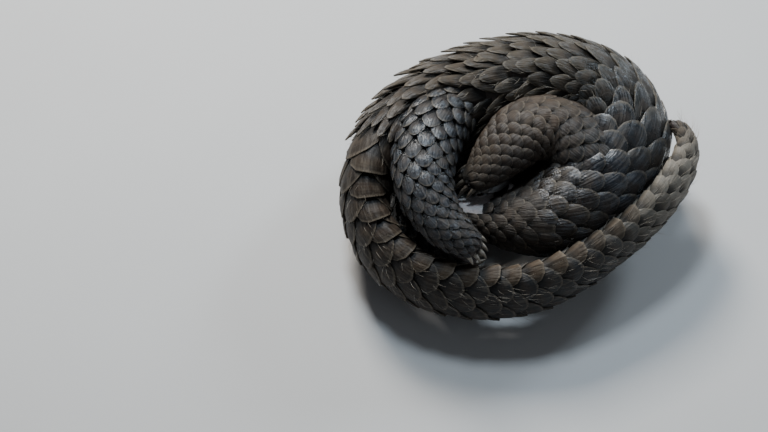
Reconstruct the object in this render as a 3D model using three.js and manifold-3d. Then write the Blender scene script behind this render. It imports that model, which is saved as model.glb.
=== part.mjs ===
// A young Sunda pangolin, life size, rolled up and lying on its left side.
// The body curls round its own head, the hind legs hold the snout, and the tail wraps round the outside.
// Millimetres, +Z up. +X is to the right and +Y away from a viewer who looks down on the right flank.
// The origin is on the floor, under the middle of the whole animal.
import * as THREE from "three";
import { mergeVertices } from "three/addons/utils/BufferGeometryUtils.js";
import Module from "manifold-3d";

const wasm = await Module();
wasm.setup();

// Driving dimensions
const GAP = 0.34; // between neighbouring pieces
const SEAM = 0.6; // between two lengths of the body, measured along it
const MIDDLE_HEIGHT = 40.2; // of the animal's own middle plane above the floor
const CENTRE = { x: -0.5, y: 2 }; // middle of the whole animal, in the coordinates of the stations below

// Each row below is a station: its name, then these sizes.
const SIZES = ["x", "y", "z", "back", "belly", "side", "twist", "cover", "pitch", "lift"];
function stations(rows) {
  return rows.map(([at, ...row]) => {
    const sizes = SIZES.map((key, i) => [key, row[i]]);
    return { at, ...Object.fromEntries(sizes) };
  });
}

// Stations are places on the animal, from nose tip to tail tip. x and y are on the floor plan, and z is the
// height above the middle plane. back, belly and side are the reach of the skin from the middle line to the
// back, the belly and each side, and twist turns the section about the middle line, in degrees. cover is the
// share of the girth with scales, pitch the distance between two rings of scales and lift their height.
const BODY = stations([
  ["nose tip", -50, -17, 0, 3, 2.6, 3.6, 40, 0.32, 3, 0.4],
  ["muzzle", -38.5, -20.5, 0, 6.8, 5.6, 6.8, 40, 0.34, 3.6, 0.6],
  ["eyes", -23, -23.5, 0, 11.6, 9.4, 10.8, 40, 0.36, 4.1, 0.8],
  ["ears", -6, -25.5, 0, 17, 15.5, 15.5, 38, 0.6, 5, 1],
  ["nape", 10.5, -23.5, 0, 21, 19.5, 20, 25, 0.74, 6.1, 1.3],
  ["neck", 26, -15, 0, 23, 20.5, 24.5, 10, 0.8, 6.9, 1.7],
  ["shoulders", 39, -0.5, 0, 26, 19, 28.5, 0, 0.8, 7.3, 2.1],
  ["chest", 46, 20.5, 0, 31.5, 18.5, 34, 0, 0.8, 7.5, 2.2],
  ["ribs", 37, 40, 0, 30.5, 22, 37.5, 0, 0.82, 7.6, 2.2],
  ["loin", 9, 48, 0, 29, 25, 38.5, 0, 0.84, 7.6, 2.2],
  ["haunch", -25, 41.5, 0, 27, 24, 37, 0, 0.84, 7.6, 2.6],
  ["rump", -56, 27, 0, 22, 19, 32, 0, 0.84, 7.6, 3.4],
  ["tail root", -76.5, 5, 0, 14, 13, 26, 3, 0.86, 7, 2.4],
  ["tail 1", -81, -17, -3, 11, 10, 21, 6, 1, 6.6, 2.2],
  ["tail 2", -73.5, -39, -6, 9.5, 9, 18.5, 10, 1, 6.5, 2.1],
  ["tail 3", -56, -55, -8, 8.5, 8, 17, 13, 1, 6.4, 2],
  ["tail 4", -32, -63, -9, 8, 7.5, 16, 15, 1, 6.3, 2],
  ["tail 5", -7, -64, -9, 7.5, 7, 15.5, 15, 1, 6.2, 1.9],
  ["tail 6", 18, -57.5, -6, 7.2, 6.5, 14.5, 15, 1, 6.1, 1.8],
  ["tail 7", 43, -43, -2, 6.6, 6, 13, 15, 1, 5.9, 1.7],
  ["tail 8", 65.5, -25, 3, 6, 5.4, 11.5, 19, 1, 5.7, 1.6],
  ["tail 9", 80.5, -6, 7, 5.6, 5, 10.8, 25, 1, 5.3, 1.4],
  ["tail 10", 87, 9, 9, 4.9, 4.5, 8.8, 28, 1, 4.4, 1.1],
  ["tail 11", 85.5, 19, 11, 4.2, 3.8, 6.2, 28, 1, 3.8, 0.8],
  ["tail tip", 79, 24.5, 13, 2.6, 2.6, 3.4, 28, 1, 3, 0.5],
]);

// Stations of the right limbs. Their back is the outer side and their sides lie in the floor plan. The hind
// leg runs from hip to toes and the foreleg from toes to shoulder, since its scales point up the leg.
const HIND_LEG = stations([
  ["hip", -31, 40, 9, 19, 18, 17.5, 0, 0.6, 6, 1.6],
  ["thigh", -44, 19, 20, 17, 15, 15.5, 0, 0.6, 5.4, 1.7],
  ["knee", -50.5, -1, 23.5, 15.5, 14, 15, 0, 0.62, 5, 1.7],
  ["shank", -51, -20, 22.5, 14, 12, 13.5, 0, 0.64, 5, 1.6],
  ["ankle", -43.5, -37, 19.5, 10.5, 9, 11, 0, 0.6, 4.6, 1.3],
  ["instep", -33, -46, 16.5, 8, 7.5, 8.6, 0, 0.58, 4.2, 1],
  ["toes", -24.5, -50.5, 13.5, 4.6, 4.6, 6.4, 0, 0.5, 4, 0.7],
]);
const FORELEG = stations([
  ["toes", -28, -12.5, 18, 4.2, 4.2, 6.6, 0, 0.5, 4, 0.7],
  ["palm", -23.5, -11, 19.8, 6.2, 5.5, 8.2, 0, 0.55, 4.2, 0.9],
  ["wrist", -18, -7, 21.8, 8.4, 7, 10.5, 0, 0.6, 4.4, 1.1],
  ["lower arm", -9.5, 1.5, 24, 11, 9.5, 13.5, 0, 0.62, 4.8, 1.3],
  ["forearm", 2, 11.5, 25, 12.5, 11, 15.5, 0, 0.62, 5.2, 1.5],
  ["elbow", 17, 14.5, 22.5, 13.5, 13, 15.5, 0, 0.62, 5.4, 1.6],
  ["upper arm", 34, 4, 17, 14, 13, 17, 0, 0.62, 5.4, 1.6],
  ["shoulder", 47, -8, 9, 13, 12, 15, 0, 0.6, 5.4, 1.6],
]);
// Where the left limbs lie otherwise: the upper arm rests on the floor, and the hind foot is inside the tail.
const LEFT = {
  hind: { ankle: { y: -35 }, instep: { y: -42 }, toes: { y: -44.5 } },
  fore: { "upper arm": { z: 23, back: 15.5, belly: 11, side: 12 } },
};

// Coats of scales. columns is the number of scale rows side by side, and keel the height of a raised middle
// on each scale. A closed coat goes all round. An open one leaves the belly bare, with lines along it at
// bellyShares of the way from the last scales to its middle.
const COATS = {
  trunk: { columns: 13, round: true, from: 19, bareStep: 4.6, keel: 0.5, bellyShares: [0, 0.45, 1] },
  tail: { columns: 8, closed: true, round: true, bareStep: 9 },
  hind_leg: { columns: 7, round: false, from: 24, bareStep: 8, keel: 0.7, bellyShares: [0, 1] },
  foreleg: { columns: 7, round: true, from: 5, bareEnd: 30, bareStep: 10, keel: 0.35, bellyShares: [0, 1] },
};
const DEPTH = 0.8; // how far a scale's tip goes past its corners, in ring steps
const SHOULDER_OUT = 0.6; // place of the rounded shoulders of a scale's rim, in column steps
const SHOULDER_BACK = 0.3; // and how far they stay behind the tip, as a share of the depth
const ROOT_LIFT = 0.3; // of a scale's surface where it comes out from under the ring before
const UNDERCUT = 0.45; // how far a free edge hangs over, in lifts

// Body nodes, each from the end of the one before it to the named station.
const BODY_NODES = [
  { name: "head", to: "nape" },
  { name: "neck", to: "shoulders" },
  { name: "torso_front", to: "ribs" },
  { name: "torso_middle", to: "haunch" },
  { name: "torso_rear", to: "tail root" },
  { name: "tail_1", to: "tail 2" },
  { name: "tail_2", to: "tail 4" },
  { name: "tail_3", to: "tail 6" },
  { name: "tail_4", to: "tail 8" },
  { name: "tail_5", to: "tail 10" },
  { name: "tail_6", to: "tail tip" },
];

// A small repeatable random draw, so that every build makes the same animal.
let seed = 20031;
function draw(low, high) {
  seed = (seed * 16807) % 2147483647;
  return low + ((high - low) * seed) / 2147483647;
}

// Smooth curve through stations, with all their sizes, by distance along the middle line.
const FINE = 24; // samples between two stations
function makeLine(places, isLimb, sign = 1) {
  const last = places.length - 1;
  function blend(q) {
    const i = Math.min(Math.max(Math.floor(q), 0), last - 1);
    const t = q - i;
    const found = {};
    for (const key of SIZES) {
      const p1 = places[i][key];
      const p2 = places[i + 1][key];
      const m1 = i > 0 ? (p2 - places[i - 1][key]) / 2 : p2 - p1;
      const m2 = i + 2 <= last ? (places[i + 2][key] - p1) / 2 : p2 - p1;
      found[key] = p1 + t * (m1 + t * (3 * (p2 - p1) - 2 * m1 - m2 + t * (m1 + m2 - 2 * (p2 - p1))));
    }
    return found;
  }
  const place = (f) => new THREE.Vector3(f.x, f.y, f.z * sign);
  const lengths = [0];
  let before = place(blend(0));
  for (let k = 1; k <= last * FINE; k++) {
    const here = place(blend(k / FINE));
    lengths.push(lengths[k - 1] + here.distanceTo(before));
    before = here;
  }
  function section(s) {
    let k = lengths.findIndex((d) => d > s);
    if (k < 1) k = s <= 0 ? 1 : lengths.length - 1;
    const q = (k - 1 + (s - lengths[k - 1]) / (lengths[k] - lengths[k - 1])) / FINE;
    const f = blend(q);
    const ahead = place(blend(Math.min(q + 0.02, last)));
    const along = ahead.sub(place(blend(Math.max(q - 0.02, 0)))).normalize();
    // On the body the back looks out of the curl and the right side looks up. On a limb the outer side does.
    const up = new THREE.Vector3(0, 0, 1);
    const out = isLimb
      ? up.clone().addScaledVector(along, -along.z).multiplyScalar(sign).normalize()
      : new THREE.Vector3().crossVectors(along, up).normalize();
    const across = new THREE.Vector3().crossVectors(out, along).normalize();
    const twist = THREE.MathUtils.degToRad(f.twist);
    return {
      ...f,
      s,
      centre: place(f),
      along,
      out: out.clone().multiplyScalar(Math.cos(twist)).addScaledVector(across, Math.sin(twist)),
      across: across.clone().multiplyScalar(Math.cos(twist)).addScaledVector(out, -Math.sin(twist)),
    };
  }
  const stationAt = (name) => lengths[places.findIndex((p) => p.at === name) * FINE];
  return { section, stationAt, length: lengths[last * FINE], sign };
}

// Point on a section, a share of the half girth from the back line and a height above the skin.
const GIRTH_STEPS = 32;
function girthOf(section) {
  const lengths = [0];
  for (let k = 1; k <= GIRTH_STEPS; k++) {
    const a = ((k - 0.5) / GIRTH_STEPS) * Math.PI;
    const radius = Math.cos(a) > 0 ? section.back : section.belly;
    const bit = Math.hypot(radius * Math.sin(a), section.side * Math.cos(a)) * (Math.PI / GIRTH_STEPS);
    lengths.push(lengths[k - 1] + bit);
  }
  return lengths;
}
function skinPoint(section, share, height) {
  const lengths = girthOf(section);
  const wanted = Math.min(Math.abs(share), 1) * lengths[GIRTH_STEPS];
  const k = Math.max(1, lengths.findIndex((d) => d >= wanted - 1e-9));
  const part = k - 1 + (wanted - lengths[k - 1]) / (lengths[k] - lengths[k - 1]);
  const a = Math.sign(share) * (part / GIRTH_STEPS) * Math.PI;
  const radius = Math.cos(a) > 0 ? section.back : section.belly;
  const normal = new THREE.Vector2(Math.cos(a) / radius, Math.sin(a) / section.side).normalize();
  return section.centre
    .clone()
    .addScaledVector(section.out, radius * Math.cos(a) + normal.x * height)
    .addScaledVector(section.across, section.side * Math.sin(a) + normal.y * height);
}

// Solids. A closed shell is turned round where its faces point inwards.
function asManifold(geometry) {
  const bare = geometry.clone();
  bare.deleteAttribute("normal");
  bare.deleteAttribute("uv");
  const merged = mergeVertices(bare, 1e-4);
  return new wasm.Manifold(
    new wasm.Mesh({
      numProp: 3,
      vertProperties: new Float32Array(merged.attributes.position.array),
      triVerts: new Uint32Array(merged.index.array),
    }),
  );
}
function solidFrom(points, faces) {
  const geometry = new THREE.BufferGeometry();
  const numbers = points.flatMap((p) => [p.x, p.y, p.z]);
  geometry.setAttribute("position", new THREE.Float32BufferAttribute(numbers, 3));
  geometry.setIndex(faces.flat());
  const made = asManifold(geometry);
  return made.volume() > 0 ? made : solidFrom(points, faces.map(([a, b, c]) => [a, c, b]));
}
const unite = (solids) => wasm.Manifold.union(solids);

// Slots are the lengthwise lines round a section: one for each column of scales, and a few on the bare belly.
function slotsOf(coat) {
  const half = Math.floor(coat.columns / 2);
  const slots = [];
  if (coat.closed) {
    for (let c = -half; c < half; c++) slots.push({ column: c, share: () => (2 * c) / coat.columns });
    return slots;
  }
  for (let c = -half; c <= half; c++) slots.push({ column: c, share: (f) => (f.cover * c) / (half + 1) });
  const bare = coat.bellyShares;
  for (const b of bare) slots.push({ share: (f) => f.cover + (1 - f.cover) * b });
  for (const b of bare.slice(0, -1).reverse()) slots.push({ share: (f) => -f.cover - (1 - f.cover) * b });
  return slots;
}

// Rings of a coat from one distance to another. Where the coat has scales a ring is their free rim: tips,
// shoulders and corners, each with a top and an under edge. Elsewhere a ring is a plain section.
function makeRings(line, coat, starts) {
  const slots = slotsOf(coat);
  const count = slots.length;
  return starts.map(({ s, plain }, ring) => {
    const f = line.section(s);
    const depth = DEPTH * f.pitch;
    const half = Math.floor(coat.columns / 2);
    const isScale = (j) => slots[j].column !== undefined;
    const isTip = (j) => isScale(j) && Math.abs(slots[j].column + ring) % 2 === 0;
    const spots = [];
    slots.forEach((slot, j) => {
      if (plain || !isScale(j)) {
        const at = plain ? s : s - depth / 2;
        spots.push({ slot: j, s: at, share: slot.share, top: 0, under: 0, single: true });
        return;
      }
      const edge = coat.closed ? 1 : 1 - 0.35 * (slot.column / (half + 1)) ** 2;
      const lift = f.lift * edge * draw(0.88, 1.1);
      const hang = UNDERCUT * lift;
      const tip = isTip(j);
      const before = (j + count - 1) % count;
      const after = (j + 1) % count;
      const shoulder = (to) => {
        const share = (g) => {
          let step = slots[to].share(g) - slot.share(g);
          if (coat.closed && Math.abs(step) > 1) step -= 2 * Math.sign(step);
          return slot.share(g) + step * SHOULDER_OUT;
        };
        const at = s - SHOULDER_BACK * depth;
        spots.push({ s: at, share, top: lift * 0.92, under: ROOT_LIFT, hang: hang * 0.8 });
      };
      if (tip && coat.round) shoulder(before);
      spots.push({
        slot: j,
        s: tip ? s + draw(-0.05, 0.05) * f.pitch : s - depth,
        share: slot.share,
        top: lift * (tip ? 1 : 0.62),
        under: ROOT_LIFT,
        hang: tip ? hang : 0,
        tip,
      });
      if (tip && coat.round) shoulder(after);
    });
    // A shoulder before the first slot belongs at the end of the ring.
    while (spots[0].slot === undefined) spots.push(spots.shift());
    return { s, plain, spots, count, lift: f.lift, pitch: f.pitch, ring };
  });
}

// Closed body between two rings of a coat. The ends are walls to the middle line.
function hose(line, coat, rings, first, last, options = {}) {
  const { grow = 0, startShift = 0, nose, tail } = options;
  const points = [];
  const faces = [];
  const wrapShare = (share) => (share > 1 ? share - 2 : share < -1 ? share + 2 : share);
  const cache = new Map();
  const sectionAt = (s) => {
    const key = s.toFixed(3);
    if (!cache.has(key)) cache.set(key, line.section(s));
    return cache.get(key);
  };
  const add = (s, share, height) => {
    const f = sectionAt(s);
    points.push(skinPoint(f, wrapShare(typeof share === "function" ? share(f) : share), height + grow));
    return points.length - 1;
  };
  const shift = (index, s, distance) => points[index].addScaledVector(sectionAt(s).along, distance);
  for (let r = first; r <= last; r++) {
    for (const spot of rings[r].spots) {
      const hang = grow ? -grow : (spot.hang ?? 0);
      const raised = grow && !spot.single ? 0.3 * spot.top : 0;
      spot.underIndex = add(spot.s - hang, spot.share, spot.under + raised);
      spot.topIndex = spot.single || r === first ? spot.underIndex : add(spot.s + grow, spot.share, spot.top);
      if (r === first) shift(spot.underIndex, spot.s, startShift - (grow ? 2 * grow : 0));
      if (r === last && grow && spot.single) shift(spot.underIndex, spot.s, grow);
    }
  }
  // Chain of spots of a ring from one slot to a later one, round the section.
  const chain = (ring, from, to, key) => {
    const { spots } = ring;
    let i = spots.findIndex((spot) => spot.slot === from);
    const found = [spots[i][key]];
    while (spots[i].slot !== to) {
      i = (i + 1) % spots.length;
      found.push(spots[i][key]);
    }
    return found;
  };
  const zip = (upper, lower) => {
    let i = 0;
    let j = 0;
    while (i < upper.length - 1 || j < lower.length - 1) {
      const isEvenOrBehind = (i + 1) / upper.length <= (j + 1) / lower.length;
      if (j === lower.length - 1 || (i < upper.length - 1 && isEvenOrBehind)) {
        faces.push([upper[i], upper[i + 1], lower[j]]);
        i++;
      } else {
        faces.push([upper[i], lower[j + 1], lower[j]]);
        j++;
      }
    }
  };
  for (let r = first; r <= last; r++) {
    const ring = rings[r];
    const { spots, count } = ring;
    // The step down from the free rim
    if (r > first) {
      spots.forEach((a, i) => {
        const b = spots[(i + 1) % spots.length];
        if (a.topIndex !== a.underIndex) faces.push([a.topIndex, b.topIndex, a.underIndex]);
        if (b.topIndex !== b.underIndex) faces.push([b.topIndex, b.underIndex, a.underIndex]);
      });
    }
    if (r === first) continue;
    const above = rings[r - 1];
    const done = new Set();
    if (!ring.plain) {
      for (const spot of spots) {
        if (!spot.tip) continue;
        const from = (spot.slot + count - 1) % count;
        const to = (spot.slot + 1) % count;
        done.add(from).add(spot.slot);
        const upper = chain(above, from, to, "underIndex");
        const lower = chain(ring, from, to, "topIndex");
        if (!coat.keel) {
          zip(upper, lower);
          continue;
        }
        const rootAt = above.spots.find((other) => other.slot === spot.slot).s;
        const keel = add(
          rootAt + 0.6 * (spot.s - rootAt),
          spot.share,
          ROOT_LIFT + 0.6 * (spot.top - ROOT_LIFT) + coat.keel * Math.min(1, ring.lift / 1.6),
        );
        const loop = [...upper, ...lower.reverse()];
        loop.forEach((index, i) => faces.push([keel, loop[i], loop[(i + 1) % loop.length]]));
      }
    }
    for (let j = 0; j < count; j++) {
      if (done.has(j)) continue;
      const next = (j + 1) % count;
      zip(chain(above, j, next, "underIndex"), chain(ring, j, next, "topIndex"));
    }
  }
  // End walls
  const wall = (ring, sense, shift) => {
    const f = line.section(ring.s - (ring.plain ? 0 : (DEPTH * ring.pitch) / 2));
    const middle = points.length;
    const centre = f.centre.clone().addScaledVector(f.out, (f.back - f.belly) / 2);
    points.push(centre.addScaledVector(f.along, shift));
    ring.spots.forEach((spot, i) => {
      const next = ring.spots[(i + 1) % ring.spots.length];
      if (sense > 0) faces.push([spot.underIndex, next.underIndex, middle]);
      else faces.push([next.underIndex, spot.underIndex, middle]);
    });
  };
  wall(rings[first], -1, nose ? -nose - grow : startShift - grow);
  wall(rings[last], 1, tail ? tail + grow : grow);
  return solidFrom(points, faces);
}

// Lines of the whole animal
const body = makeLine(BODY, false);

// Ring places: plain rings at a coarse spacing where a line is bare, and one for each step of the scales.
function ringPlaces(line, coat, start, end) {
  const from = coat.from ?? start;
  const to = end - (coat.bareEnd ?? 0);
  const places = [];
  const bareSteps = Math.round((from - start) / coat.bareStep);
  for (let i = 0; i < Math.max(1, bareSteps); i++) {
    places.push({ s: start + ((from - start) * i) / Math.max(1, bareSteps), plain: true });
  }
  let s = from + line.section(from).pitch;
  while (s < to - 0.4 * line.section(to).pitch) {
    places.push({ s, plain: false });
    s += line.section(s).pitch;
  }
  const left = Math.max(1, Math.round((end - to) / coat.bareStep));
  for (let i = 1; i <= left; i++) places.push({ s: to + ((end - to) * i) / left, plain: true });
  return places;
}

// Pieces made so far, in order of claim: each later piece gives way to those before it, with a gap. A piece
// and the next length of the same line already fit each other, so they are left as they are.
const pieces = [];
const floorBlock = asManifold(new THREE.BoxGeometry(400, 400, 100).translate(0, 0, -MIDDLE_HEIGHT - 50));
function largest(solid) {
  return solid.decompose().reduce((a, b) => (b.volume() > a.volume() ? b : a));
}
function overlaps(a, b) {
  const p = a.boundingBox();
  const q = b.boundingBox();
  return [0, 1, 2].every((k) => p.min[k] < q.max[k] && q.min[k] < p.max[k]);
}
function claim(name, look, solid, grown, fits = []) {
  const near = pieces.filter((other) => !fits.includes(other.name) && overlaps(other.grown, solid));
  let kept = solid.subtract(floorBlock);
  if (near.length) kept = kept.subtract(unite(near.map((other) => other.grown)));
  pieces.push({ name, look, solid: largest(kept), grown });
}

// A curved claw that narrows to a blunt point, from its root along a direction and curling towards the sole.
const CLAW_SIDES = 5;
const CLAW_RINGS = 4;
function clawSolid({ root, ahead, sole, length, radius, curl }, grow = 0) {
  const points = [];
  const across = new THREE.Vector3().crossVectors(ahead, sole).normalize();
  for (let i = 0; i < CLAW_RINGS; i++) {
    const t = i / (CLAW_RINGS - 1);
    const angle = curl * t;
    const bow = length / curl;
    const centre = root
      .clone()
      .addScaledVector(ahead, bow * Math.sin(angle) + (i === CLAW_RINGS - 1 ? grow : i ? 0 : -grow))
      .addScaledVector(sole, bow * (1 - Math.cos(angle)));
    const outward = sole.clone().multiplyScalar(-Math.cos(angle)).addScaledVector(ahead, Math.sin(angle));
    const r = radius * (1 - 0.8 * t ** 1.4) + grow;
    for (let j = 0; j < CLAW_SIDES; j++) {
      const a = (2 * Math.PI * j) / CLAW_SIDES;
      points.push(
        centre
          .clone()
          .addScaledVector(outward, r * 1.2 * Math.cos(a))
          .addScaledVector(across, r * 0.9 * Math.sin(a)),
      );
    }
  }
  return solidFrom(points, hoseFaces(CLAW_RINGS, CLAW_SIDES));
}
// Faces of a closed hose of points laid out ring after ring.
function hoseFaces(rings, sides) {
  const faces = [];
  for (let i = 0; i < rings - 1; i++) {
    for (let j = 0; j < sides; j++) {
      const a = i * sides + j;
      const b = i * sides + ((j + 1) % sides);
      faces.push([a, b, a + sides], [b, b + sides, a + sides]);
    }
  }
  const end = (rings - 1) * sides;
  for (let j = 1; j < sides - 1; j++) faces.push([0, j + 1, j], [end, end + j, end + j + 1]);
  return faces;
}

// Feet. Each has five claws in a fan, the third the longest. inset is how far the roots sink into the toes.
const FEET = {
  hind: { leg: "hind_leg", foot: "hind_foot", from: "instep", length: 7.5, radius: 1.7, curl: 0.9, inset: 4 },
  fore: { leg: "foreleg", foot: "forefoot", from: "palm", length: 13, radius: 1.8, curl: 0.8, inset: 4 },
};
const CLAW_SHARES = [0.55, 0.85, 1, 0.9, 0.6]; // lengths as shares of the third claw's
const CLAW_PITCH = 2.9;
const CLAW_FAN = 0.12; // turn of each claw from its neighbour, as a slope

for (const side of ["right", "left"]) {
  for (const [kind, foot] of Object.entries(FEET)) {
    const places = (kind === "hind" ? HIND_LEG : FORELEG).map((station) => ({ ...station }));
    if (side === "left") places.forEach((station) => Object.assign(station, LEFT[kind][station.at]));
    const line = makeLine(places, true, side === "right" ? 1 : -1);
    const coat = COATS[foot.leg];
    const rings = makeRings(line, coat, ringPlaces(line, coat, 0, line.length));
    const hind = kind === "hind";
    const cutAt = line.stationAt(foot.from);
    const cut = rings.findIndex((ring) => ring.s >= cutAt);
    const end = rings.length - 1;
    const tip = line.section(hind ? line.length : 0);
    const ahead = tip.along.clone().multiplyScalar(hind ? 1 : -1);
    const sole = tip.out.clone().negate();
    CLAW_SHARES.forEach((share, i) => {
      const place = i - 2;
      const shape = {
        root: tip.centre
          .clone()
          .addScaledVector(tip.across, place * CLAW_PITCH * (hind ? 1 : -1))
          .addScaledVector(ahead, -foot.inset + 1.2 - Math.abs(place) * 0.8)
          .addScaledVector(sole, -0.6),
        ahead: ahead.clone().addScaledVector(tip.across, place * CLAW_FAN * (hind ? 1 : -1)).normalize(),
        sole,
        length: foot.length * share + foot.inset,
        radius: foot.radius * (0.72 + 0.28 * share),
        curl: foot.curl,
      };
      claim(`claw_${kind}_${side}_${i + 1}`, "claw", clawSolid(shape), clawSolid(shape, GAP));
    });
    // The two lengths of the limb, cut at a ring of scales.
    const ends = hind
      ? { leg: [0, cut, {}], foot: [cut, end, { startShift: SEAM, tail: 1.6 }] }
      : { foot: [0, cut, { nose: 1.6 }], leg: [cut, end, { startShift: SEAM }] };
    const beyond = (grow) =>
      asManifold(new THREE.BoxGeometry(400, 400, 100).translate(0, 0, (GAP / 2 - grow - 50) * line.sign));
    const make = ([first, last, options], grow) =>
      hose(line, coat, rings, first, last, { ...options, grow }).subtract(beyond(grow));
    const footName = `${foot.foot}_${side}`;
    claim(footName, foot.leg, make(ends.foot, 0), make(ends.foot, GAP));
    claim(`${foot.leg}_${side}`, foot.leg, make(ends.leg, 0), make(ends.leg, GAP), [footName]);
  }
}

// Sense organs. s is their distance from the nose tip, and share and height are their place on the skin.
const FACE = {
  eye: { s: 28, share: 0.5, height: -1.3, radius: 2.3 },
  lid: { radius: 2.45, roll: 0.85, squash: 0.82, height: 1.35 },
  ear: { s: 43.5, share: 0.58, height: 0.2, long: 3.5, tall: 5, high: 3, wall: 0.9, lean: 0.35 },
  pad: { radius: 3.5, squash: 0.6, flat: 0.85 },
  nostril: { ahead: 1.7, apart: 1.7, up: 0.5, radius: 0.85 },
  mouth: { from: 2.5, to: 17, share: 0.64, deep: 1.4, slit: 0.3, lip: 1.5, puff: 0.45 },
};
const MOUTH_RINGS = 5;
function skinFrame(s, share, height) {
  const f = body.section(s);
  const at = skinPoint(f, share, height);
  const outward = skinPoint(f, share, height + 1).sub(at).normalize();
  const along = f.along.clone().addScaledVector(outward, -f.along.dot(outward)).normalize();
  const across = new THREE.Vector3().crossVectors(outward, along);
  return new THREE.Matrix4().makeBasis(along, across, outward).setPosition(at);
}
const placed = (geometry, matrix) => asManifold(geometry.clone().applyMatrix4(matrix));

// The nose pad is a low ball across the tip of the snout, with a nostril in each half.
const nose = body.section(0.6);
const noseFrame = new THREE.Matrix4().makeBasis(nose.along, nose.across, nose.out).setPosition(nose.centre);
const { pad, nostril, mouth, eye, lid, ear } = FACE;
const padBall = new THREE.SphereGeometry(pad.radius, 8, 6).scale(pad.squash, 1, pad.flat);
const headAdds = [placed(padBall, noseFrame)];
const headCuts = [];

// A strip along the lip line, from a depth to a height about the skin, and half its width to each side.
// It narrows to a fifth at its ends.
function lipLine(sign, low, high, half) {
  const points = [];
  for (let i = 0; i < MOUTH_RINGS; i++) {
    const t = i / (MOUTH_RINGS - 1);
    const f = body.section(mouth.from + (mouth.to - mouth.from) * t);
    const full = 0.2 + 0.8 * Math.sin(Math.PI * t);
    const corners = [[high * full, 0.5 * full], [high * full, -0.5 * full], [low, -full], [low, full]];
    for (const [height, way] of corners) {
      points.push(skinPoint(f, sign * mouth.share, height).addScaledVector(f.out, half * way));
    }
  }
  return solidFrom(points, hoseFaces(MOUTH_RINGS, 4));
}

for (const sign of [1, -1]) {
  const side = sign > 0 ? "right" : "left";
  const hole = new THREE.SphereGeometry(nostril.radius, 6, 4);
  hole.translate(-nostril.ahead, sign * nostril.apart, nostril.up);
  headCuts.push(placed(hole, noseFrame));
  headAdds.push(lipLine(sign, -mouth.deep, mouth.puff, mouth.lip));
  headCuts.push(lipLine(sign, -mouth.deep * 0.8, 2 * mouth.deep, mouth.slit));

  const eyeFrame = skinFrame(eye.s, sign * eye.share, eye.height);
  const eyeball = (r) => placed(new THREE.SphereGeometry(r, 10, 6), eyeFrame);
  claim(`eye_${side}`, "eye", eyeball(eye.radius), eyeball(eye.radius + GAP));
  const rim = new THREE.TorusGeometry(lid.radius, lid.roll, 4, 9);
  headAdds.push(placed(rim.scale(1, lid.squash, 1).translate(0, 0, lid.height), eyeFrame));

  // The ear is a low cup that opens forwards, with a high back wall.
  const earFrame = skinFrame(ear.s, sign * ear.share, ear.height);
  const bowl = (less, ahead, raise) =>
    new THREE.SphereGeometry(1, 8, 6)
      .rotateX(Math.PI / 2)
      .scale(ear.long - less, ear.tall - less, ear.high - less)
      .translate(-ahead, 0, raise)
      .rotateY(-ear.lean);
  const cup = placed(bowl(0, 0, 0), earFrame);
  const hollow = placed(bowl(ear.wall, ear.wall * 1.1, ear.wall * 1.2), earFrame);
  claim(`ear_${side}`, "ear", cup.subtract(hollow), placed(bowl(-GAP, 0, 0), earFrame), [`eye_${side}`]);
}

// Body, in lengths that end at rings of scales.
const trunkEnd = body.stationAt("tail root");
const TRUNK_NODES = 5;
const trunk = {
  look: "trunk",
  start: 0.6,
  end: trunkEnd,
  nodes: BODY_NODES.slice(0, TRUNK_NODES),
  nose: 1.4,
};
const tail = {
  look: "tail",
  start: trunkEnd + SEAM,
  end: body.length - 0.3,
  nodes: BODY_NODES.slice(TRUNK_NODES),
  tail: 1.5,
};
for (const { look, start, end, nodes, ...caps } of [trunk, tail]) {
  const coat = COATS[look];
  const places = ringPlaces(body, coat, start, end);
  const rings = makeRings(body, coat, places);
  let first = 0;
  nodes.forEach(({ name, to }, i) => {
    const target = body.stationAt(to);
    const isLast = i === nodes.length - 1;
    const last = isLast ? rings.length - 1 : places.findIndex((p) => p.s >= target);
    const options = {
      startShift: first ? SEAM : 0,
      nose: first ? 0 : caps.nose,
      tail: isLast ? caps.tail : 0,
    };
    const make = (grow) => hose(body, coat, rings, first, last, { ...options, grow });
    const plain = make(0);
    const solid = name === "head" ? unite([plain, ...headAdds]).subtract(unite(headCuts)) : plain;
    claim(name, look, solid, make(GAP), i ? [pieces.at(-1).name] : []);
    first = last;
  });
}

// Colours of the dry horn, the skin and the eyes
const LOOKS = {
  trunk: { color: 0x4b4640, roughness: 0.45 },
  tail: { color: 0x453f38, roughness: 0.45 },
  hind_leg: { color: 0x3d3b3a, roughness: 0.35 },
  foreleg: { color: 0x4c4037, roughness: 0.45 },
  claw: { color: 0xb9a68a, roughness: 0.4 },
  ear: { color: 0xb59a8c, roughness: 0.7 },
  eye: { color: 0x0b0908, roughness: 0.1 },
};

const model = new THREE.Group();
model.position.set(-CENTRE.x, -CENTRE.y, MIDDLE_HEIGHT);
for (const { name, solid, look } of pieces) {
  const mesh = solid.getMesh();
  const geometry = new THREE.BufferGeometry();
  geometry.setAttribute("position", new THREE.BufferAttribute(mesh.vertProperties, 3));
  geometry.setIndex(new THREE.BufferAttribute(mesh.triVerts, 1));
  const node = new THREE.Mesh(geometry, new THREE.MeshStandardMaterial({ ...LOOKS[look], metalness: 0 }));
  node.name = name;
  model.add(node);
}

export default model;
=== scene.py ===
from types import SimpleNamespace

import bmesh
import bpy
import numpy as np
from mathutils import Matrix, Vector


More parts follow.
